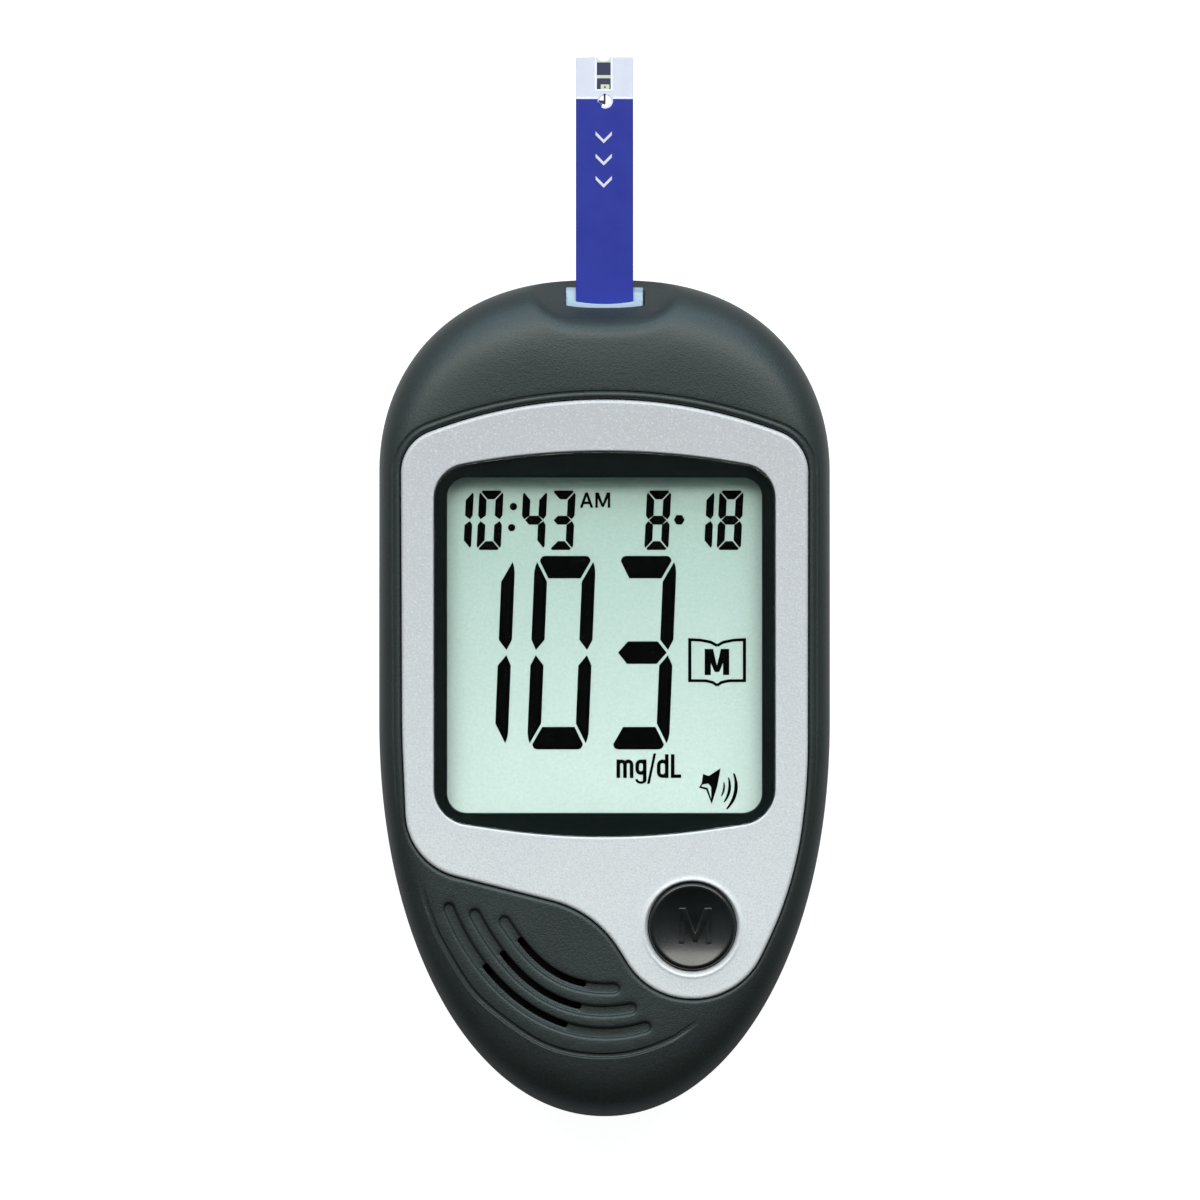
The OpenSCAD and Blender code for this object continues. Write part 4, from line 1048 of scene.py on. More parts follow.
def buildStrip():
    d = stripLook
    half, start, tip, edge, low = d["half"], d["from"], d["to"], d["whiteFrom"], d["channelFrom"]
    (left, right), (x, y), radius, bevel = d["channel"], d["vent"], d["ventRadius"], d["corner"]
    middle, notchHalf = (left + right) / 2, (right - left) / 2 - 0.06
    dip = [(middle + notchHalf * math.cos(a), tip - d["notch"] * math.sin(a))
           for a in np.linspace(0, math.pi, 13)]
    outer = np.array([(-half, start), (half, start), (half, tip - bevel), (half - bevel, tip)]
                     + dip + [(bevel - half, tip), (-half, tip - bevel)])
    rows = [(0, d["low"]), (0, d["base"])]
    base = slab("base", turnedLeft(outer), rows, [(circleLoop(x, y, radius - d["ventHole"], 40), rows)])
    layers = {"white": [], "bright": [], "blue": [], "dark": [], "cream": []}

    def layer(kind, loop, rise=0.0, holes=()):
        levels = [(0, d["base"] + rise), (0, d["print"] + rise)]
        loop = turnedLeft(np.array(loop, float))
        layers[kind].append(slab("layer", loop, levels, [(h, levels) for h in holes]))

    def ventArc(fromDeg, toDeg):
        return [(x + radius * math.cos(a), y + radius * math.sin(a))
                for a in np.radians(np.arange(fromDeg, toDeg, -5))]

    # the printed blue runs round the vent, as does the white end
    cut = math.sqrt(radius ** 2 - (edge - y) ** 2)
    layer("blue", [(-half, start), (half, start), (half, edge), (x + cut, edge)] + ventArc(370, 165)
          + [(x - cut, edge), (-half, edge)])
    layer("white", [(-half, edge), (x - cut, edge)] + ventArc(165, 10)
          + [(x + cut, edge), (half, edge), (half, tip - bevel), (half - bevel, tip), (right, tip),
             (right, low), (left, low), (left, tip), (bevel - half, tip), (-half, tip - bevel)])
    # the channel, from its foot to the notch
    footTop, barTop, windowEnd = d["chamber"]
    padLeft, padRight, padTop = d["pad"]
    dotX, dotY, dotRadius, dotSteps = d["dot"]
    layer("dark", bar(left, right, barTop, windowEnd))
    layer("cream", bar(left, right, footTop, barTop))
    layer("dark", [(left, low), (left, footTop), (right, footTop), (right, low), (padRight, low),
                   (padRight, padTop), (padLeft, padTop), (padLeft, low)])
    layer("cream", bar(padLeft, padRight, low + 0.02, padTop), 0, [circleLoop(*d["dot"])])
    layer("dark", circleLoop(dotX, dotY, dotRadius - 0.01, dotSteps))
    layer("cream", [(left, windowEnd), (left, tip - 0.02)]
          + [(px, py - 0.02) for px, py in dip[::-1] if px > left]
          + [(right, tip - 0.02), (right, windowEnd)])
    # brighter lines along the channel and the blue edge
    near, far, past = d["line"]
    over = d["over"]
    for lineLeft, lineRight in ((left - far, left - near), (right + near, right + far)):
        layer("bright", bar(lineLeft, lineRight, low - past, tip - 0.01), over["line"])
    layer("bright", bar(left, right, low - past, low - near), over["line"])
    for lineLeft, lineRight in ((near - half, x - cut - 0.04), (x + cut + 0.04, half - near)):
        layer("bright", bar(lineLeft, lineRight, edge + near, edge + near + past), over["line"])
    ring = circleLoop(x, y, radius, 40)
    layer("white", ring, 0, [shifted(ring, -d["ventRing"])])
    layer("dark", np.array(d["upright"]) + d["vent"], over["upright"])
    layer("blue", np.array(d["blueCorner"]) + d["vent"], over["corner"])
    # plain arrowheads that point to the meter
    wing, stroke = d["arrowHalf"], d["arrowStroke"]
    for place in d["arrows"]:
        layer("white", [(middle - wing, place), (middle, place - wing), (middle + wing, place),
                        (middle + wing, place - stroke), (middle, place - wing - stroke),
                        (middle - wing, place - stroke)], over["arrow"])
    return base, layers


portInsert = buildPort()
stripBase, stripLayers = buildStrip()


# The back half and its door

rear = {
    "levels": (0, 0.003, 0.012, 0.03, 0.055, 0.09, 0.13, 0.18, 0.24, 0.31, 0.4, 0.5, 0.62, 0.75, 0.88),
    "lipSides": (1.95, 2.7),        # the lip that reaches into the front half: its sides, in from the outline
    "lipHeights": (9.3, 12.3),
    "bay": ((-11.5, -21.5), (11.5, 28.5), 12.7),
    "baySide": 2.2, "bayRoof": 0.8,
    "well": ((-11.5, 29.6), (11.5, 34.4), 5.0),
    "wellRoof": 5.9,
    "blockLow": 0.5, "blockWall": 0.9,
    "doorHalf": 12.6, "doorLow": -26.4, "doorHigh": 35.2, "doorThick": 1.5, "doorGap": 0.12, "ledge": 1.6,
    "hinge": (-25.4, 2.6), "hingeSide": 2.3, "pin": 0.8, "pinReach": 1.3, "relief": 3.1,
    "tab": 3.4, "tabStem": (1.4, 0.5), "tabNose": 0.8, "tabThick": (0.3, 0.9),
    "grips": 4, "gripHalf": 5, "gripSpan": (3.25, 2.55), "gripPitch": 1.3,
    "gripRows": ((0.05, -1), (0.05, 0), (-0.02, 0.12), (-0.1, 0.26)),
    "arrow": ((-1.6, 26.2), (0, 28.4), (1.6, 26.2)), "arrowDepth": 0.15,
    "setButton": (6.0, 32.0),
    "boardScrews": ((10.5, 37.7), (-10.5, 37.7), (4.0, -35.5)),
    # round parts: radius, low end, high end
    "boss": (3.4, 0, 13.3), "bossRoom": (3, 11.3, 14.3), "post": (2, 1.3, 13.84), "postHole": (0.81, 5, 17),
    "setHole": (1.85, 0, 8),
    "screwWell": ((0, -1), (2.7, -1), (2.7, 0.0), (2.5, 0.2), (2.5, 8), (1.4, 8), (1.4, 13.3), (0, 13.3)),
    "contactSlot": (5.6, 1.3),      # where the slots for the contacts' tabs are, and their half width
}


def doorLoop(gap):
    half, low, high = rear["doorHalf"] + gap, rear["doorLow"], rear["doorHigh"] + gap
    return roundedLoop([(-half, high, 2), (-half, low, 0.4), (half, low, 0.4), (half, high, 2)], 0.2)


def buildRearCase():
    d = rear
    seam = body["seam"]
    rim = backRing(1.0)
    rim[:, 2] -= seam
    edge = np.column_stack([shifted(outline, -seam), np.full(len(outline), body["split"] - body["seamGap"])])
    shell = ringSolid("rearShell", [backRing(v) for v in d["levels"]] + [rim, edge])
    room = backCavity()
    combine(room, [drum("rearBoss", place, *d["boss"]) for place in front["screws"]])
    combine(shell, [room])
    (bayLeft, bayLow), (bayRight, bayHigh), ceiling = d["bay"]
    (wellLeft, wellLow), (wellRight, wellHigh), wellFloor = d["well"]
    half, high, tab, ledge = d["doorHalf"], d["doorHigh"], d["tab"], d["ledge"]
    (hingeY, hingeZ), relief, pin = d["hinge"], d["relief"], d["pin"]
    low, wall, baySide, hingeHalf = d["blockLow"], d["blockWall"], d["baySide"], half + d["hingeSide"]
    outer, inner = (outline * (1 - v / body["halfWidth"]) for v in d["lipSides"])
    lipRows = [(0, z) for z in d["lipHeights"]]
    walls = [
        block("bayBlock", (bayLeft - baySide, bayLow - 1, low),
              (bayRight + baySide, bayHigh + 1, ceiling + d["bayRoof"])),
        block("wellBlock", (-half - wall, bayHigh, low), (half + wall, high + 2 * wall, d["wellRoof"])),
        block("hingeBlock", (-hingeHalf, hingeY - relief - wall, low),
              (hingeHalf, bayLow, hingeZ + relief + wall)),
        slab("lip", outer, lipRows, [(inner, lipRows)]),
    ]
    walls += [drum("post", place, *d["post"], 40) for place in d["boardScrews"]]
    combine(shell, walls, "UNION")
    side, pinEnd = half + d["doorGap"], half + d["pinReach"] + 0.12
    reliefWell = rod("reliefWell", (-half - 1, hingeY, hingeZ), (half + 1, hingeY, hingeZ), relief, 64)
    combine(reliefWell, [block("reliefLimit", (-side, hingeY - 5, -3), (side, bayLow - 1, 8))], "INTERSECT")
    cuts = [
        block("bay", (bayLeft, bayLow, -1), (bayRight, bayHigh, ceiling)),
        block("well", (wellLeft, wellLow, -1), (wellRight, wellHigh, wellFloor)),
        slab("doorSeat", doorLoop(d["doorGap"]), [(0.2, -1), (0.2, -0.01), (0.0, 0.2), (0, ledge)]),
        block("catch", (-tab - 0.5, wellHigh - 0.7, ledge - 0.01), (tab + 0.5, high + 1.1, ledge + 1.1)),
        rod("hingePins", (-pinEnd, hingeY, hingeZ), (pinEnd, hingeY, hingeZ), pin + 0.06),
        reliefWell,
        drum("setHole", d["setButton"], *d["setHole"], 40),
    ]
    for place in front["screws"]:
        cuts += [turned("screwHole", d["screwWell"], place, 48), drum("bossRoom", place, *d["bossRoom"])]
    cuts += [drum("postHole", place, *d["postHole"], 24) for place in d["boardScrews"]]
    slotX, slotHalf = d["contactSlot"]
    for x in (-slotX, slotX):
        cuts.append(block("tabSlot", (x - slotHalf, bayHigh - 0.75, ceiling - 1),
                          (x + slotHalf, bayHigh - 0.02, ceiling + 3)))
    cuts.append(dataPortCutter("rearDataPort"))
    combine(shell, cuts)
    shell.name = "rearShell"
    return finishMesh(shell, 30)


def buildDoor():
    d = rear
    half, high, thick, tab, ledge = d["doorHalf"], d["doorHigh"], d["doorThick"], d["tab"], d["ledge"]
    (hingeY, hingeZ), pin, gripHalf = d["hinge"], d["pin"], d["gripHalf"]
    door = slab("cellDoor", doorLoop(0), roundedProfile(0, thick, 0.2, 0.1, 4))
    cuts = []
    for i in range(d["grips"]):
        low, top = (high - v - d["gripPitch"] * i for v in d["gripSpan"])
        groove = evenly(boxLoop((-gripHalf, low), (gripHalf, top), 0.3), 0.12)
        cuts.append(slab("grip", groove, d["gripRows"]))
    cuts.append(prisms("arrow", [turnedLeft(np.array(d["arrow"]))], -1, d["arrowDepth"]))
    combine(door, cuts)
    (stemLow, stemHigh), (noseLow, noseTop) = d["tabStem"], d["tabThick"]
    inside = thick - 0.2
    top = ledge + noseTop
    adds = [block("tabStem", (-tab, high - stemLow, inside), (tab, high - stemHigh, top), 0.1),
            block("tabNose", (-tab, high - stemLow, ledge + noseLow), (tab, high + d["tabNose"], top), 0.1)]
    for s in (-1, 1):
        near, far = sorted((s * half, s * (half - 2)))
        adds.append(block("arm", (near, hingeY - pin, inside), (far, hingeY + pin, hingeZ)))
        ends = [(s * x, hingeY, hingeZ) for x in (half - 2, half + d["pinReach"])]
        adds.append(rod("pin", *ends, pin))
    combine(door, adds, "UNION")
    door.name = "cellDoor"
    return finishMesh(door, 30)


rearShell = buildRearCase()
cellDoor = buildDoor()
print("rear case:", len(rearShell.data.polygons), "faces, door:", len(cellDoor.data.polygons))


# Materials. Sizes are in metres here, since the nodes work on the model itself


def colour(code):
    # a colour written as six hexadecimal digits
    parts = [int(code[i:i + 2], 16) / 255 for i in (0, 2, 4)]
    return tuple(c / 12.92 if c <= 0.04045 else ((c + 0.055) / 1.055) ** 2.4 for c in parts) + (1.0,)


def add(tree, kind, inputs=None, **settings):
    made = tree.nodes.new("ShaderNode" + kind)
    for key, value in settings.items():
        setattr(made, key, value)
    for key, value in (inputs or {}).items():
        if isinstance(value, bpy.types.NodeSocket):
            tree.links.new(value, made.inputs[key])
        else:
            made.inputs[key].default_value = value
    return made


def blendColours(tree, share, first, second, kind="MIX"):
    mixed = add(tree, "Mix", {0: share, 6: first, 7: second}, data_type="RGBA", blend_type=kind)
    return mixed.outputs[2]


def maths(tree, kind, *values):
    return add(tree, "Math", dict(enumerate(values)), operation=kind).outputs[0]


def remap(tree, value, low, high, newLow=0.0, newHigh=1.0):
    return add(tree, "MapRange", {0: value, 1: low, 2: high, 3: newLow, 4: newHigh}).outputs[0]


def startGroup(name, inputs, outputs):
    group = bpy.data.node_groups.new(name, "ShaderNodeTree")
    for label, value in inputs.items():
        group.interface.new_socket(label, in_out="INPUT", socket_type="NodeSocketFloat").default_value = value
    for label, kind in outputs.items():
        group.interface.new_socket(label, in_out="OUTPUT", socket_type="NodeSocket" + kind)
    return group, group.nodes.new("NodeGroupInput").outputs, group.nodes.new("NodeGroupOutput").inputs


def placeOn(tree):
    return add(tree, "TexCoord").outputs["Object"]


def noise(tree, place, size, detail, roughness=0.5):
    # even noise whose cells are about this large
    scale = maths(tree, "DIVIDE", 1.0, size)
    return add(tree, "TexNoise", {"Vector": place, "Scale": scale, "Detail": detail,
                                  "Roughness": roughness}).outputs[0]


def buildFineGrain():
    # the matt texture of a mould: its height, and how its tone varies from place to place
    group, given, out = startGroup("fineGrain", {"Grain Size": 0.0002, "Patch Size": 0.006},
                                   {"Height": "Float", "Tone": "Float", "Patches": "Float"})
    place = placeOn(group)
    fine = noise(group, place, given["Grain Size"], 2.0, 0.55)
    broad = noise(group, place, maths(group, "MULTIPLY", given["Grain Size"], 2.6), 1.0)
    both = maths(group, "ADD", maths(group, "MULTIPLY", fine, 0.65), maths(group, "MULTIPLY", broad, 0.35))
    group.links.new(remap(group, both, 0.3, 0.7), out["Height"])
    group.links.new(remap(group, fine, 0.25, 0.75), out["Tone"])
    patches = noise(group, place, given["Patch Size"], 3.0, 0.6)
    group.links.new(remap(group, patches, 0.3, 0.7), out["Patches"])
    return group


def buildEdgeWear():
    # softened edges, and a mask that is 1 along them
    group, given, out = startGroup("edgeWear", {"Radius": 0.00025, "Patch Size": 0.0015},
                                   {"Mask": "Float", "Normal": "Vector"})
    soft = add(group, "Bevel", {"Radius": given["Radius"]}, samples=4).outputs[0]
    plain = add(group, "NewGeometry").outputs["Normal"]
    turn = add(group, "VectorMath", {0: soft, 1: plain}, operation="DOT_PRODUCT").outputs["Value"]
    broken = noise(group, placeOn(group), given["Patch Size"], 4.0)
    edge = remap(group, turn, 0.985, 0.8)
    group.links.new(maths(group, "MULTIPLY", edge, remap(group, broken, 0.35, 0.62)), out["Mask"])
    group.links.new(soft, out["Normal"])
    return group


def buildBandAlong():
    # 1 between two places along the body and 0 outside them
    group, given, out = startGroup("bandAlong", {"From": 0.0, "To": 0.01}, {"Mask": "Float"})
    y = add(group, "SeparateXYZ", {0: placeOn(group)}).outputs["Y"]
    above = maths(group, "GREATER_THAN", y, given["From"])
    group.links.new(maths(group, "MULTIPLY", above, maths(group, "LESS_THAN", y, given["To"])), out["Mask"])
    return group


fineGrain = buildFineGrain()
edgeWear = buildEdgeWear()
bandAlong = buildBandAlong()


def placeGroup(tree, group, **values):
    # socket names are written without their spaces
    made = tree.nodes.new("ShaderNodeGroup")
    made.node_tree = group
    for key, value in values.items():
        made.inputs[key.replace("_", " ")].default_value = value
    return made.outputs


def newMaterial(name, **sockets):
    material = bpy.data.materials.new(name)
    material.use_nodes = True
    shader = material.node_tree.nodes["Principled BSDF"]
    for key, value in sockets.items():
        shader.inputs[key.replace("_", " ")].default_value = value
    return material, material.node_tree, shader


def startLook(name, grain, patch, soft=None, wornPatch=None, **sockets):
    # a material with its grain and, where edges are softened, their wear; sizes in mm
    material, tree, shader = newMaterial(name, **sockets)
    grains = placeGroup(tree, fineGrain, Grain_Size=grain * mm, Patch_Size=patch * mm)
    edges = placeGroup(tree, edgeWear, Radius=soft * mm, Patch_Size=wornPatch * mm) if soft else None
    return material, tree, shader, grains, edges


def endLook(tree, shader, tone, rough, height=None, depth=0.0, edges=None, strength=1.0):
    tree.links.new(tone, shader.inputs["Base Color"])
    tree.links.new(rough, shader.inputs["Roughness"])
    if height:
        bump = add(tree, "Bump", {"Strength": strength, "Distance": depth * mm, "Height": height})
        if edges:
            tree.links.new(edges["Normal"], bump.inputs["Normal"])
        tree.links.new(bump.outputs[0], shader.inputs["Normal"])


def over(tree, tone, mask, share, code):
    # another colour over a tone, where the mask shows it
    return blendColours(tree, maths(tree, "MULTIPLY", mask, share), tone, colour(code))


def shareOf(tree, value, low, high):
    return remap(tree, value, 0.0, 1.0, low, high)


def alongBody(tree, low, high, newLow=0.0, newHigh=1.0):
    y = add(tree, "SeparateXYZ", {0: placeOn(tree)}).outputs["Y"]
    return remap(tree, y, low * mm, high * mm, newLow, newHigh)


def finish(name, base, other, worn, grain, patch, depth, roughness, metallic=0.0, spread=0.1, wear=0.25,
           soft=0.25, toneShare=0.35, **sockets):
    # the finish of most parts: grain, patches of a second tone, varied gloss and lighter edges; sizes in mm
    material, tree, shader, grains, edges = startLook(
        name, grain, patch, soft, patch * 0.3, Metallic=metallic, **sockets)
    mix = maths(tree, "ADD", maths(tree, "MULTIPLY", grains["Patches"], 1 - toneShare),
                maths(tree, "MULTIPLY", grains["Tone"], toneShare))
    tone = over(tree, blendColours(tree, mix, colour(base), colour(other)), edges["Mask"], wear, worn)
    rough = shareOf(tree, grains["Patches"], roughness - spread / 2, roughness + spread / 2)
    rough = maths(tree, "ADD", rough, maths(tree, "MULTIPLY", grains["Tone"], spread * 0.5))
    endLook(tree, shader, tone, rough, grains["Height"], depth, edges)
    return material


def buildSilver():
    # satin silver paint: fine flakes, each with its own slight tone, and painted shade along the plate,
    # darker towards its top end and lighter towards its foot
    material, tree, shader, grains, edges = startLook(
        "silverPaint", 0.22, 9, 0.18, 2, Metallic=0.12, Specular_IOR_Level=0.45)
    # painted shade: the plate's tone falls from its foot to its top end, as the light falls off
    tone = blendColours(tree, alongBody(tree, -24, 32), colour("ecebea"), colour("cbc9c9"))
    flakes = add(tree, "TexVoronoi", {"Vector": placeOn(tree), "Scale": 5600.0})
    spark = add(tree, "SeparateColor", {0: flakes.outputs["Color"]}).outputs[0]
    speckle = blendColours(tree, grains["Tone"], colour("e2e2e5"), colour("ffffff"))
    tone = blendColours(tree, 0.8, tone, speckle, "MULTIPLY")
    tone = over(tree, tone, remap(tree, spark, 0.0, 0.3, 1.0, 0.0), 0.22, "b4b6bd")
    tone = over(tree, tone, remap(tree, spark, 0.75, 1.0), 0.26, "f6f7f9")
    tone = over(tree, tone, grains["Patches"], 0.12, "c9cdd8")
    tone = over(tree, tone, edges["Mask"], 0.2, "b6b2ac")
    endLook(tree, shader, tone, shareOf(tree, grains["Tone"], 0.34, 0.46), grains["Height"], 0.008, edges)
    return material


def buildDisplayGreen():
    # the reflector behind the display: pale green, with painted shade that darkens it towards its top end,
    # faintly grained
    material, tree, shader, grains, _ = startLook(
        "displayGreen", 0.32, 10, Specular_IOR_Level=0.3, Coat_Weight=0.2, Coat_Roughness=0.15)
    # painted shade: darker towards the top of the display, lighter towards its foot
    tone = blendColours(tree, alongBody(tree, -14, 26), colour("bdcfc9"), colour("92aaa1"))
    grainy = blendColours(tree, grains["Tone"], colour("e6e6e6"), colour("ffffff"))
    tone = over(tree, blendColours(tree, 0.6, tone, grainy, "MULTIPLY"), grains["Patches"], 0.1, "98b0a5")
    endLook(tree, shader, tone, shareOf(tree, grains["Patches"], 0.5, 0.62))
    return material


def buildClear():
    material, tree, shader, grains, _ = startLook(
        "clearWindow", 1.2, 14, Base_Color=(1, 1, 1, 1), Transmission_Weight=1.0, IOR=1.46)
    tree.links.new(remap(tree, grains["Patches"], 0.2, 1.0, 0.0, 0.035), shader.inputs["Roughness"])
    return material


def buildCellJacket():
    # a printed jacket between bare steel ends
    material, tree, shader, grains, edges = startLook("cellJacket", 0.25, 8, 0.3, 1, Coat_Weight=0.3)
    jacket = placeGroup(tree, bandAlong, From=-0.0155, To=0.0268)["Mask"]
    stripe = placeGroup(tree, bandAlong, From=0.012, To=0.0215)["Mask"]
    printed = blendColours(tree, stripe, colour("22343c"), colour("b98a3c"))
    tone = over(tree, blendColours(tree, jacket, colour("b9b8b4"), printed), grains["Tone"], 0.18, "8f8f8c")
    tone = over(tree, tone, edges["Mask"], 0.4, "d8d8d4")
    tree.links.new(shareOf(tree, jacket, 0.95, 0.15), shader.inputs["Metallic"])
    endLook(tree, shader, tone, shareOf(tree, grains["Patches"], 0.24, 0.4), grains["Height"], 0.008, edges)
    return material


def buildBoard():
    # solder mask with copper tracks under it
    material, tree, shader, grains, edges = startLook(
        "boardMask", 0.2, 6, 0.1, 1, Coat_Weight=0.4, Coat_Roughness=0.2)
    tracks = add(tree, "TexBrick", {
        "Vector": placeOn(tree), "Color1": (0, 0, 0, 1), "Color2": (0.2, 0.2, 0.2, 1), "Mortar": (1, 1, 1, 1),
        "Scale": 220.0, "Mortar Size": 0.03, "Brick Width": 0.9, "Row Height": 0.35}).outputs["Fac"]
    tone = blendColours(tree, grains["Tone"], colour("14492c"), colour("1b5a36"))
    tone = over(tree, tone, tracks, 0.5, "3c8a55")
    tone = blendColours(tree, edges["Mask"], tone, colour("b3a26a"))
    endLook(tree, shader, tone, shareOf(tree, grains["Patches"], 0.3, 0.42), tracks, 0.03, edges, 0.6)
    return material


def buildCloth():
    # the woven mesh behind the speaker slots
    material, tree, shader, grains, _ = startLook("meshCloth", 0.25, 4, Specular_IOR_Level=0.2)
    place = placeOn(tree)
    weave = maths(tree, "MULTIPLY", *[add(tree, "TexWave", {"Vector": place, "Scale": 900.0},
                                          bands_direction=way).outputs[0] for way in "XY"])
    tone = blendColours(tree, weave, colour("050505"), colour("161616"))
    tone = over(tree, tone, grains["Tone"], 0.3, "1d1b19")
    endLook(tree, shader, tone, shareOf(tree, grains["Patches"], 0.75, 0.92), weave, 0.05)
    return material


# name, main tone, second tone, worn tone, grain, patch, depth of the grain, roughness
paints = {
    "charcoal": finish("charcoalPlastic", "151917", "282b29", "363a38", 0.17, 9, 0.024, 0.48, spread=0.06,
                       wear=0.35, soft=0.16, toneShare=0.7, Specular_IOR_Level=0.5, Coat_Weight=0.18,
                       Coat_Roughness=0.3, Specular_Tint=(0.8, 0.95, 0.98, 1)),
    "silver": buildSilver(),
    "clear": buildClear(),
    "border": finish("borderPrint", "0a1010", "0e1413", "141a1a", 0.3, 9, 0.002, 0.7,
                     Specular_IOR_Level=0.02),
    "green": buildDisplayGreen(),
    "mark": finish("displayInk", "020202", "040505", "080909", 0.1, 2, 0.001, 0.7, Specular_IOR_Level=0.02),
    "key": finish("keyBlack", "0b0e0d", "131615", "2a2a29", 0.35, 3, 0.002, 0.24, spread=0.05, soft=0.12,
                  Coat_Weight=0.06, Coat_Roughness=0.1),
    "port": finish("portBlue", "98acbf", "a2b4c5", "b8c8d6", 0.3, 3, 0.003, 0.32, Subsurface_Weight=0.15,
                   Subsurface_Scale=0.0008),
    "white": finish("stripWhite", "d6d5e4", "e0dfec", "ebeaf4", 0.2, 2, 0.002, 0.38),
    "bright": finish("stripBorder", "f4f4fb", "fafafe", "ffffff", 0.1, 1, 0.001, 0.4),
    "blue": finish("stripBlue", "1d2a8e", "222f97", "3d49a6", 0.15, 4, 0.002, 0.42, Specular_IOR_Level=0.3),
    "dark": finish("stripCarbon", "222448", "303250", "444660", 0.08, 0.8, 0.004, 0.55),
    "cream": finish("stripCream", "cdd0b8", "dadcca", "ecebdc", 0.1, 1, 0.002, 0.45),
}

# for each part that keeps its own shape; a last number is how metallic it is
partFinishes = {
    "bridge_contact": ("nickelPlate", "b5b3ac", "c4c1b8", "dedbd2", 0.12, 2, 0.004, 0.28, 0.95),
    "lcd_holder": ("holderWhite", "c9c8c0", "d6d5ce", "e6e5df", 0.15, 5, 0.006, 0.5),
    "strip_connector": ("connectorIvory", "ccc4a6", "d8d1b8", "e8e3d0", 0.12, 3, 0.005, 0.42),
    "strip_contacts": ("goldPlate", "c79a3f", "d8b25c", "ecd08c", 0.1, 1, 0.002, 0.22, 1.0),
    "memory_switch": ("switchBlack", "1b1b1d", "26262a", "48484c", 0.1, 2, 0.004, 0.42),
    "memory_plunger": ("plungerIvory", "c8c0ab", "d5ceba", "e7e2d2", 0.12, 2, 0.004, 0.4),
    "set_button": ("setGrey", "60646a", "70747a", "92969c", 0.12, 2, 0.006, 0.45),
    "speaker_frame": ("stampedSteel", "83858a", "95979b", "b8babd", 0.14, 2.5, 0.004, 0.34, 0.95),
    "speaker_cone": ("speakerFilm", "0e0e10", "18181b", "2c2c30", 0.2, 2, 0.01, 0.35),
    "speaker_magnet": ("sinteredMagnet", "3a3b3f", "4a4b50", "6e6f74", 0.09, 1.2, 0.01, 0.5, 0.7),
    "speaker_gasket": ("gasketFoam", "0d0d0d", "1a1a1a", "262626", 0.3, 1, 0.06, 0.85),
    "processor_chip": ("chipEpoxy", "121213", "1b1b1d", "333336", 0.09, 1.5, 0.006, 0.55),
    "crystal": ("crystalCan", "a4a5a8", "b4b5b8", "d2d3d6", 0.1, 2, 0.003, 0.26, 1.0),
    "small_components": ("ceramicTan", "6d5738", "86704c", "a99a80", 0.08, 0.8, 0.004, 0.45),
    "case_screws": ("zincScrew", "6a6c72", "7e8086", "aaacb2", 0.1, 1, 0.005, 0.36, 0.95),
}
partPaints = {name: finish(*row) for name, row in partFinishes.items()}
partPaints["zebra_strips"] = finish("layeredRubber", "8a4350", "a3606c", "b98790", 0.08, 0.5, 0.01, 0.6,
                                    toneShare=0.8)
partPaints["battery_1"] = buildCellJacket()
partPaints["circuit_board"] = buildBoard()
partPaints["speaker_mesh"] = buildCloth()
sameFinish = {
    "battery_2": "battery_1", "end_contacts": "bridge_contact", "battery_springs": "bridge_contact",
    "set_switch": "memory_switch", "set_plunger": "memory_plunger", "voice_chip": "processor_chip",
    "data_port": "crystal", "board_screws": "case_screws",
}
partPaints.update({name: partPaints[source] for name, source in sameFinish.items()})


def paint(obj, material):
    if obj.material_slots:
        for place in obj.material_slots:
            place.material = material
    else:
        obj.data.materials.append(material)
    return obj


for name, material in partPaints.items():
    paint(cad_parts[name], material)

layers = [paint(piece, paints[kind]) for kind, group in stripLayers.items() for piece in group]
testStrip = finishMesh(joined("testStrip", [paint(stripBase, paints["white"])] + layers))

# every piece: its paint, the body it rides on, the part it stands for and its material slot
pieces = (
    (frontShell, "charcoal", "case", "front_case", "charcoal_case"),
    (facePlate, "silver", "case", "faceplate", "silver_plate"),
    (windowPane, "clear", "case", "display_window", "window_glass"),
    (windowBorder, "border", "case", "display_window", "window_glass"),
    (displayGlass, "green", "case", "lcd_panel", "lcd_glass"),
    (displayMarks, "mark", "case", "lcd_panel", "lcd_glass"),
    (memoryKey, "key", "button", "memory_button", "button_black"),
    (portInsert, "port", "case", "strip_port", "port_blue"),
    (testStrip, None, "strip", "test_strip", "strip_blue"),
    (rearShell, "charcoal", "case", "rear_case", "charcoal_case"),
    (cellDoor, "charcoal", "cover", "battery_cover", "charcoal_case"),
)
for piece, look, bodyName, partName, slotName in pieces:
    if look:
        paint(piece, paints[look])
    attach(piece, bodyName)
    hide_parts(partName)
windowPane.visible_shadow = False    # clear, so light passes to the display


# Floor, lamps and camera

studio = {
    "floorSize": 4.0,
    "floorTones": ("999999", "919191"),
    "floorGlow": 0.95,
    "floorShine": (0.02, 0.3),      # painted glow of the floor in reflections: dark at the near side as painted shade, brighter at the far side
    "floorShineSpan": (-50, 30),    # mm
    "sky": (0.02, 0.85),    # how bright it is at the near side, and at the far side
    "skySpan": (-0.5, 0.9),
    "skyTint": (0.8, 0.94, 1.0),
    "zenith": 0.0,          # straight above
    "zenithEdge": (0.955, 0.985),       # height on the unit sphere at which it turns dark
    # place, size, power and tint of each softbox, all aimed at the meter
    "lamps": {
        "keySoftbox": ((0.0, 0.56, 1.06), (1.4, 0.34), 11.2, (1.0, 0.97, 0.9)),
        "coolSoftbox": ((0.0, 0.99, 0.69), (1.4, 0.5), 7.0, (0.55, 0.82, 1.0)),
    },
    "aim": (0, 0, 0.02),
    "camera": (-0.53, 11.46, 1185.0),       # mm
    "lens": 300,
}


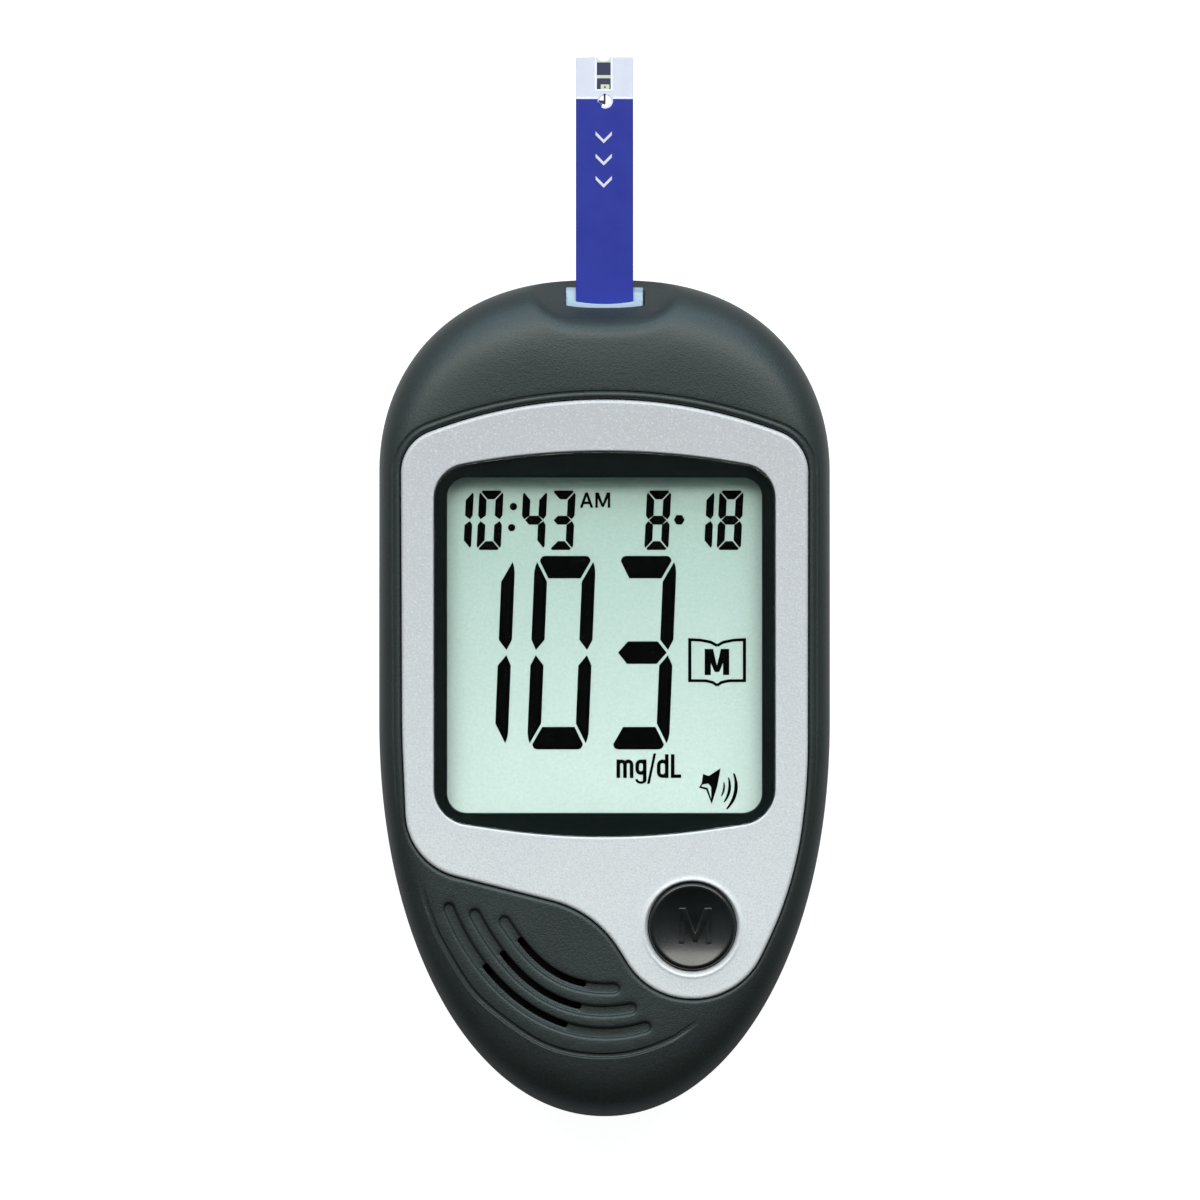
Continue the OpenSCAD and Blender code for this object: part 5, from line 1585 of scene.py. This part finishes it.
def buildFloor():
    size = studio["floorSize"] / 2
    mesh = bpy.data.meshes.new("floor")
    corners = [(-size, -size, 0), (size, -size, 0), (size, size, 0), (-size, size, 0)]
    mesh.from_pydata(corners, [], [(0, 1, 2, 3)])
    floor = addToScene(bpy.data.objects.new("floor", mesh))
    material, tree, shader, grains, _ = startLook(
        "floorPaper", 0.6, 200, Roughness=0.9, Specular_IOR_Level=0.1)
    paper = blendColours(tree, grains["Patches"], *[colour(tone) for tone in studio["floorTones"]])
    tree.links.new(paper, shader.inputs["Base Color"])
    rays = add(tree, "LightPath").outputs
    seen = maths(tree, "MAXIMUM", rays["Is Camera Ray"], rays["Is Transmission Ray"])
    # painted glow seen only in reflections, dark at the near side as painted shade
    along = alongBody(tree, *studio["floorShineSpan"], *studio["floorShine"])
    shine = maths(tree, "MULTIPLY", rays["Is Glossy Ray"], along)
    glow = blendColours(tree, maths(tree, "MAXIMUM", seen, shine), (0, 0, 0, 1), (1, 1, 1, 1))
    tree.links.new(glow, shader.inputs["Emission Color"])
    shader.inputs["Emission Strength"].default_value = studio["floorGlow"]
    mesh.materials.append(material)


def buildSky():
    world = bpy.data.worlds.new("studioSky")
    bpy.context.scene.world = world
    world.use_nodes = True
    tree = world.node_tree
    back = tree.nodes["Background"]
    way = add(tree, "SeparateXYZ", {0: add(tree, "TexCoord").outputs["Generated"]}).outputs
    level = remap(tree, way["Y"], *studio["skySpan"], *studio["sky"])
    zenith = remap(tree, way["Z"], *studio["zenithEdge"], 1.0, studio["zenith"])
    level = maths(tree, "MULTIPLY", level, zenith)
    seen = add(tree, "LightPath").outputs["Is Camera Ray"]
    level = maths(tree, "ADD", maths(tree, "MULTIPLY", level, maths(tree, "SUBTRACT", 1.0, seen)), seen)
    tree.links.new(level, back.inputs["Strength"])
    tree.links.new(blendColours(tree, seen, studio["skyTint"] + (1,), (1, 1, 1, 1)), back.inputs["Color"])


def buildLamp(name, place, size, power, tint):
    lamp = bpy.data.lights.new(name, "AREA")
    lamp.shape = "RECTANGLE"
    lamp.size, lamp.size_y = size
    lamp.energy = power
    lamp.color = tint
    holder = addToScene(bpy.data.objects.new(name, lamp))
    holder.location = place
    direction = Vector(studio["aim"]) - Vector(place)
    holder.rotation_euler = direction.to_track_quat("-Z", "Y").to_euler()
    holder.visible_camera = False


def buildCamera():
    data = bpy.data.cameras.new("camera")
    data.lens = studio["lens"]
    data.sensor_width = 36
    data.clip_start, data.clip_end = 0.01, 20
    camera = addToScene(bpy.data.objects.new("camera", data))
    camera.location = [v * mm for v in studio["camera"]]
    bpy.context.scene.camera = camera


buildFloor()
buildSky()
for name, lamp in studio["lamps"].items():
    buildLamp(name, *lamp)
buildCamera()
bpy.context.scene.view_settings.view_transform = "Standard"

print("ready:", len(pieces), "pieces and", len(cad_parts), "parts")
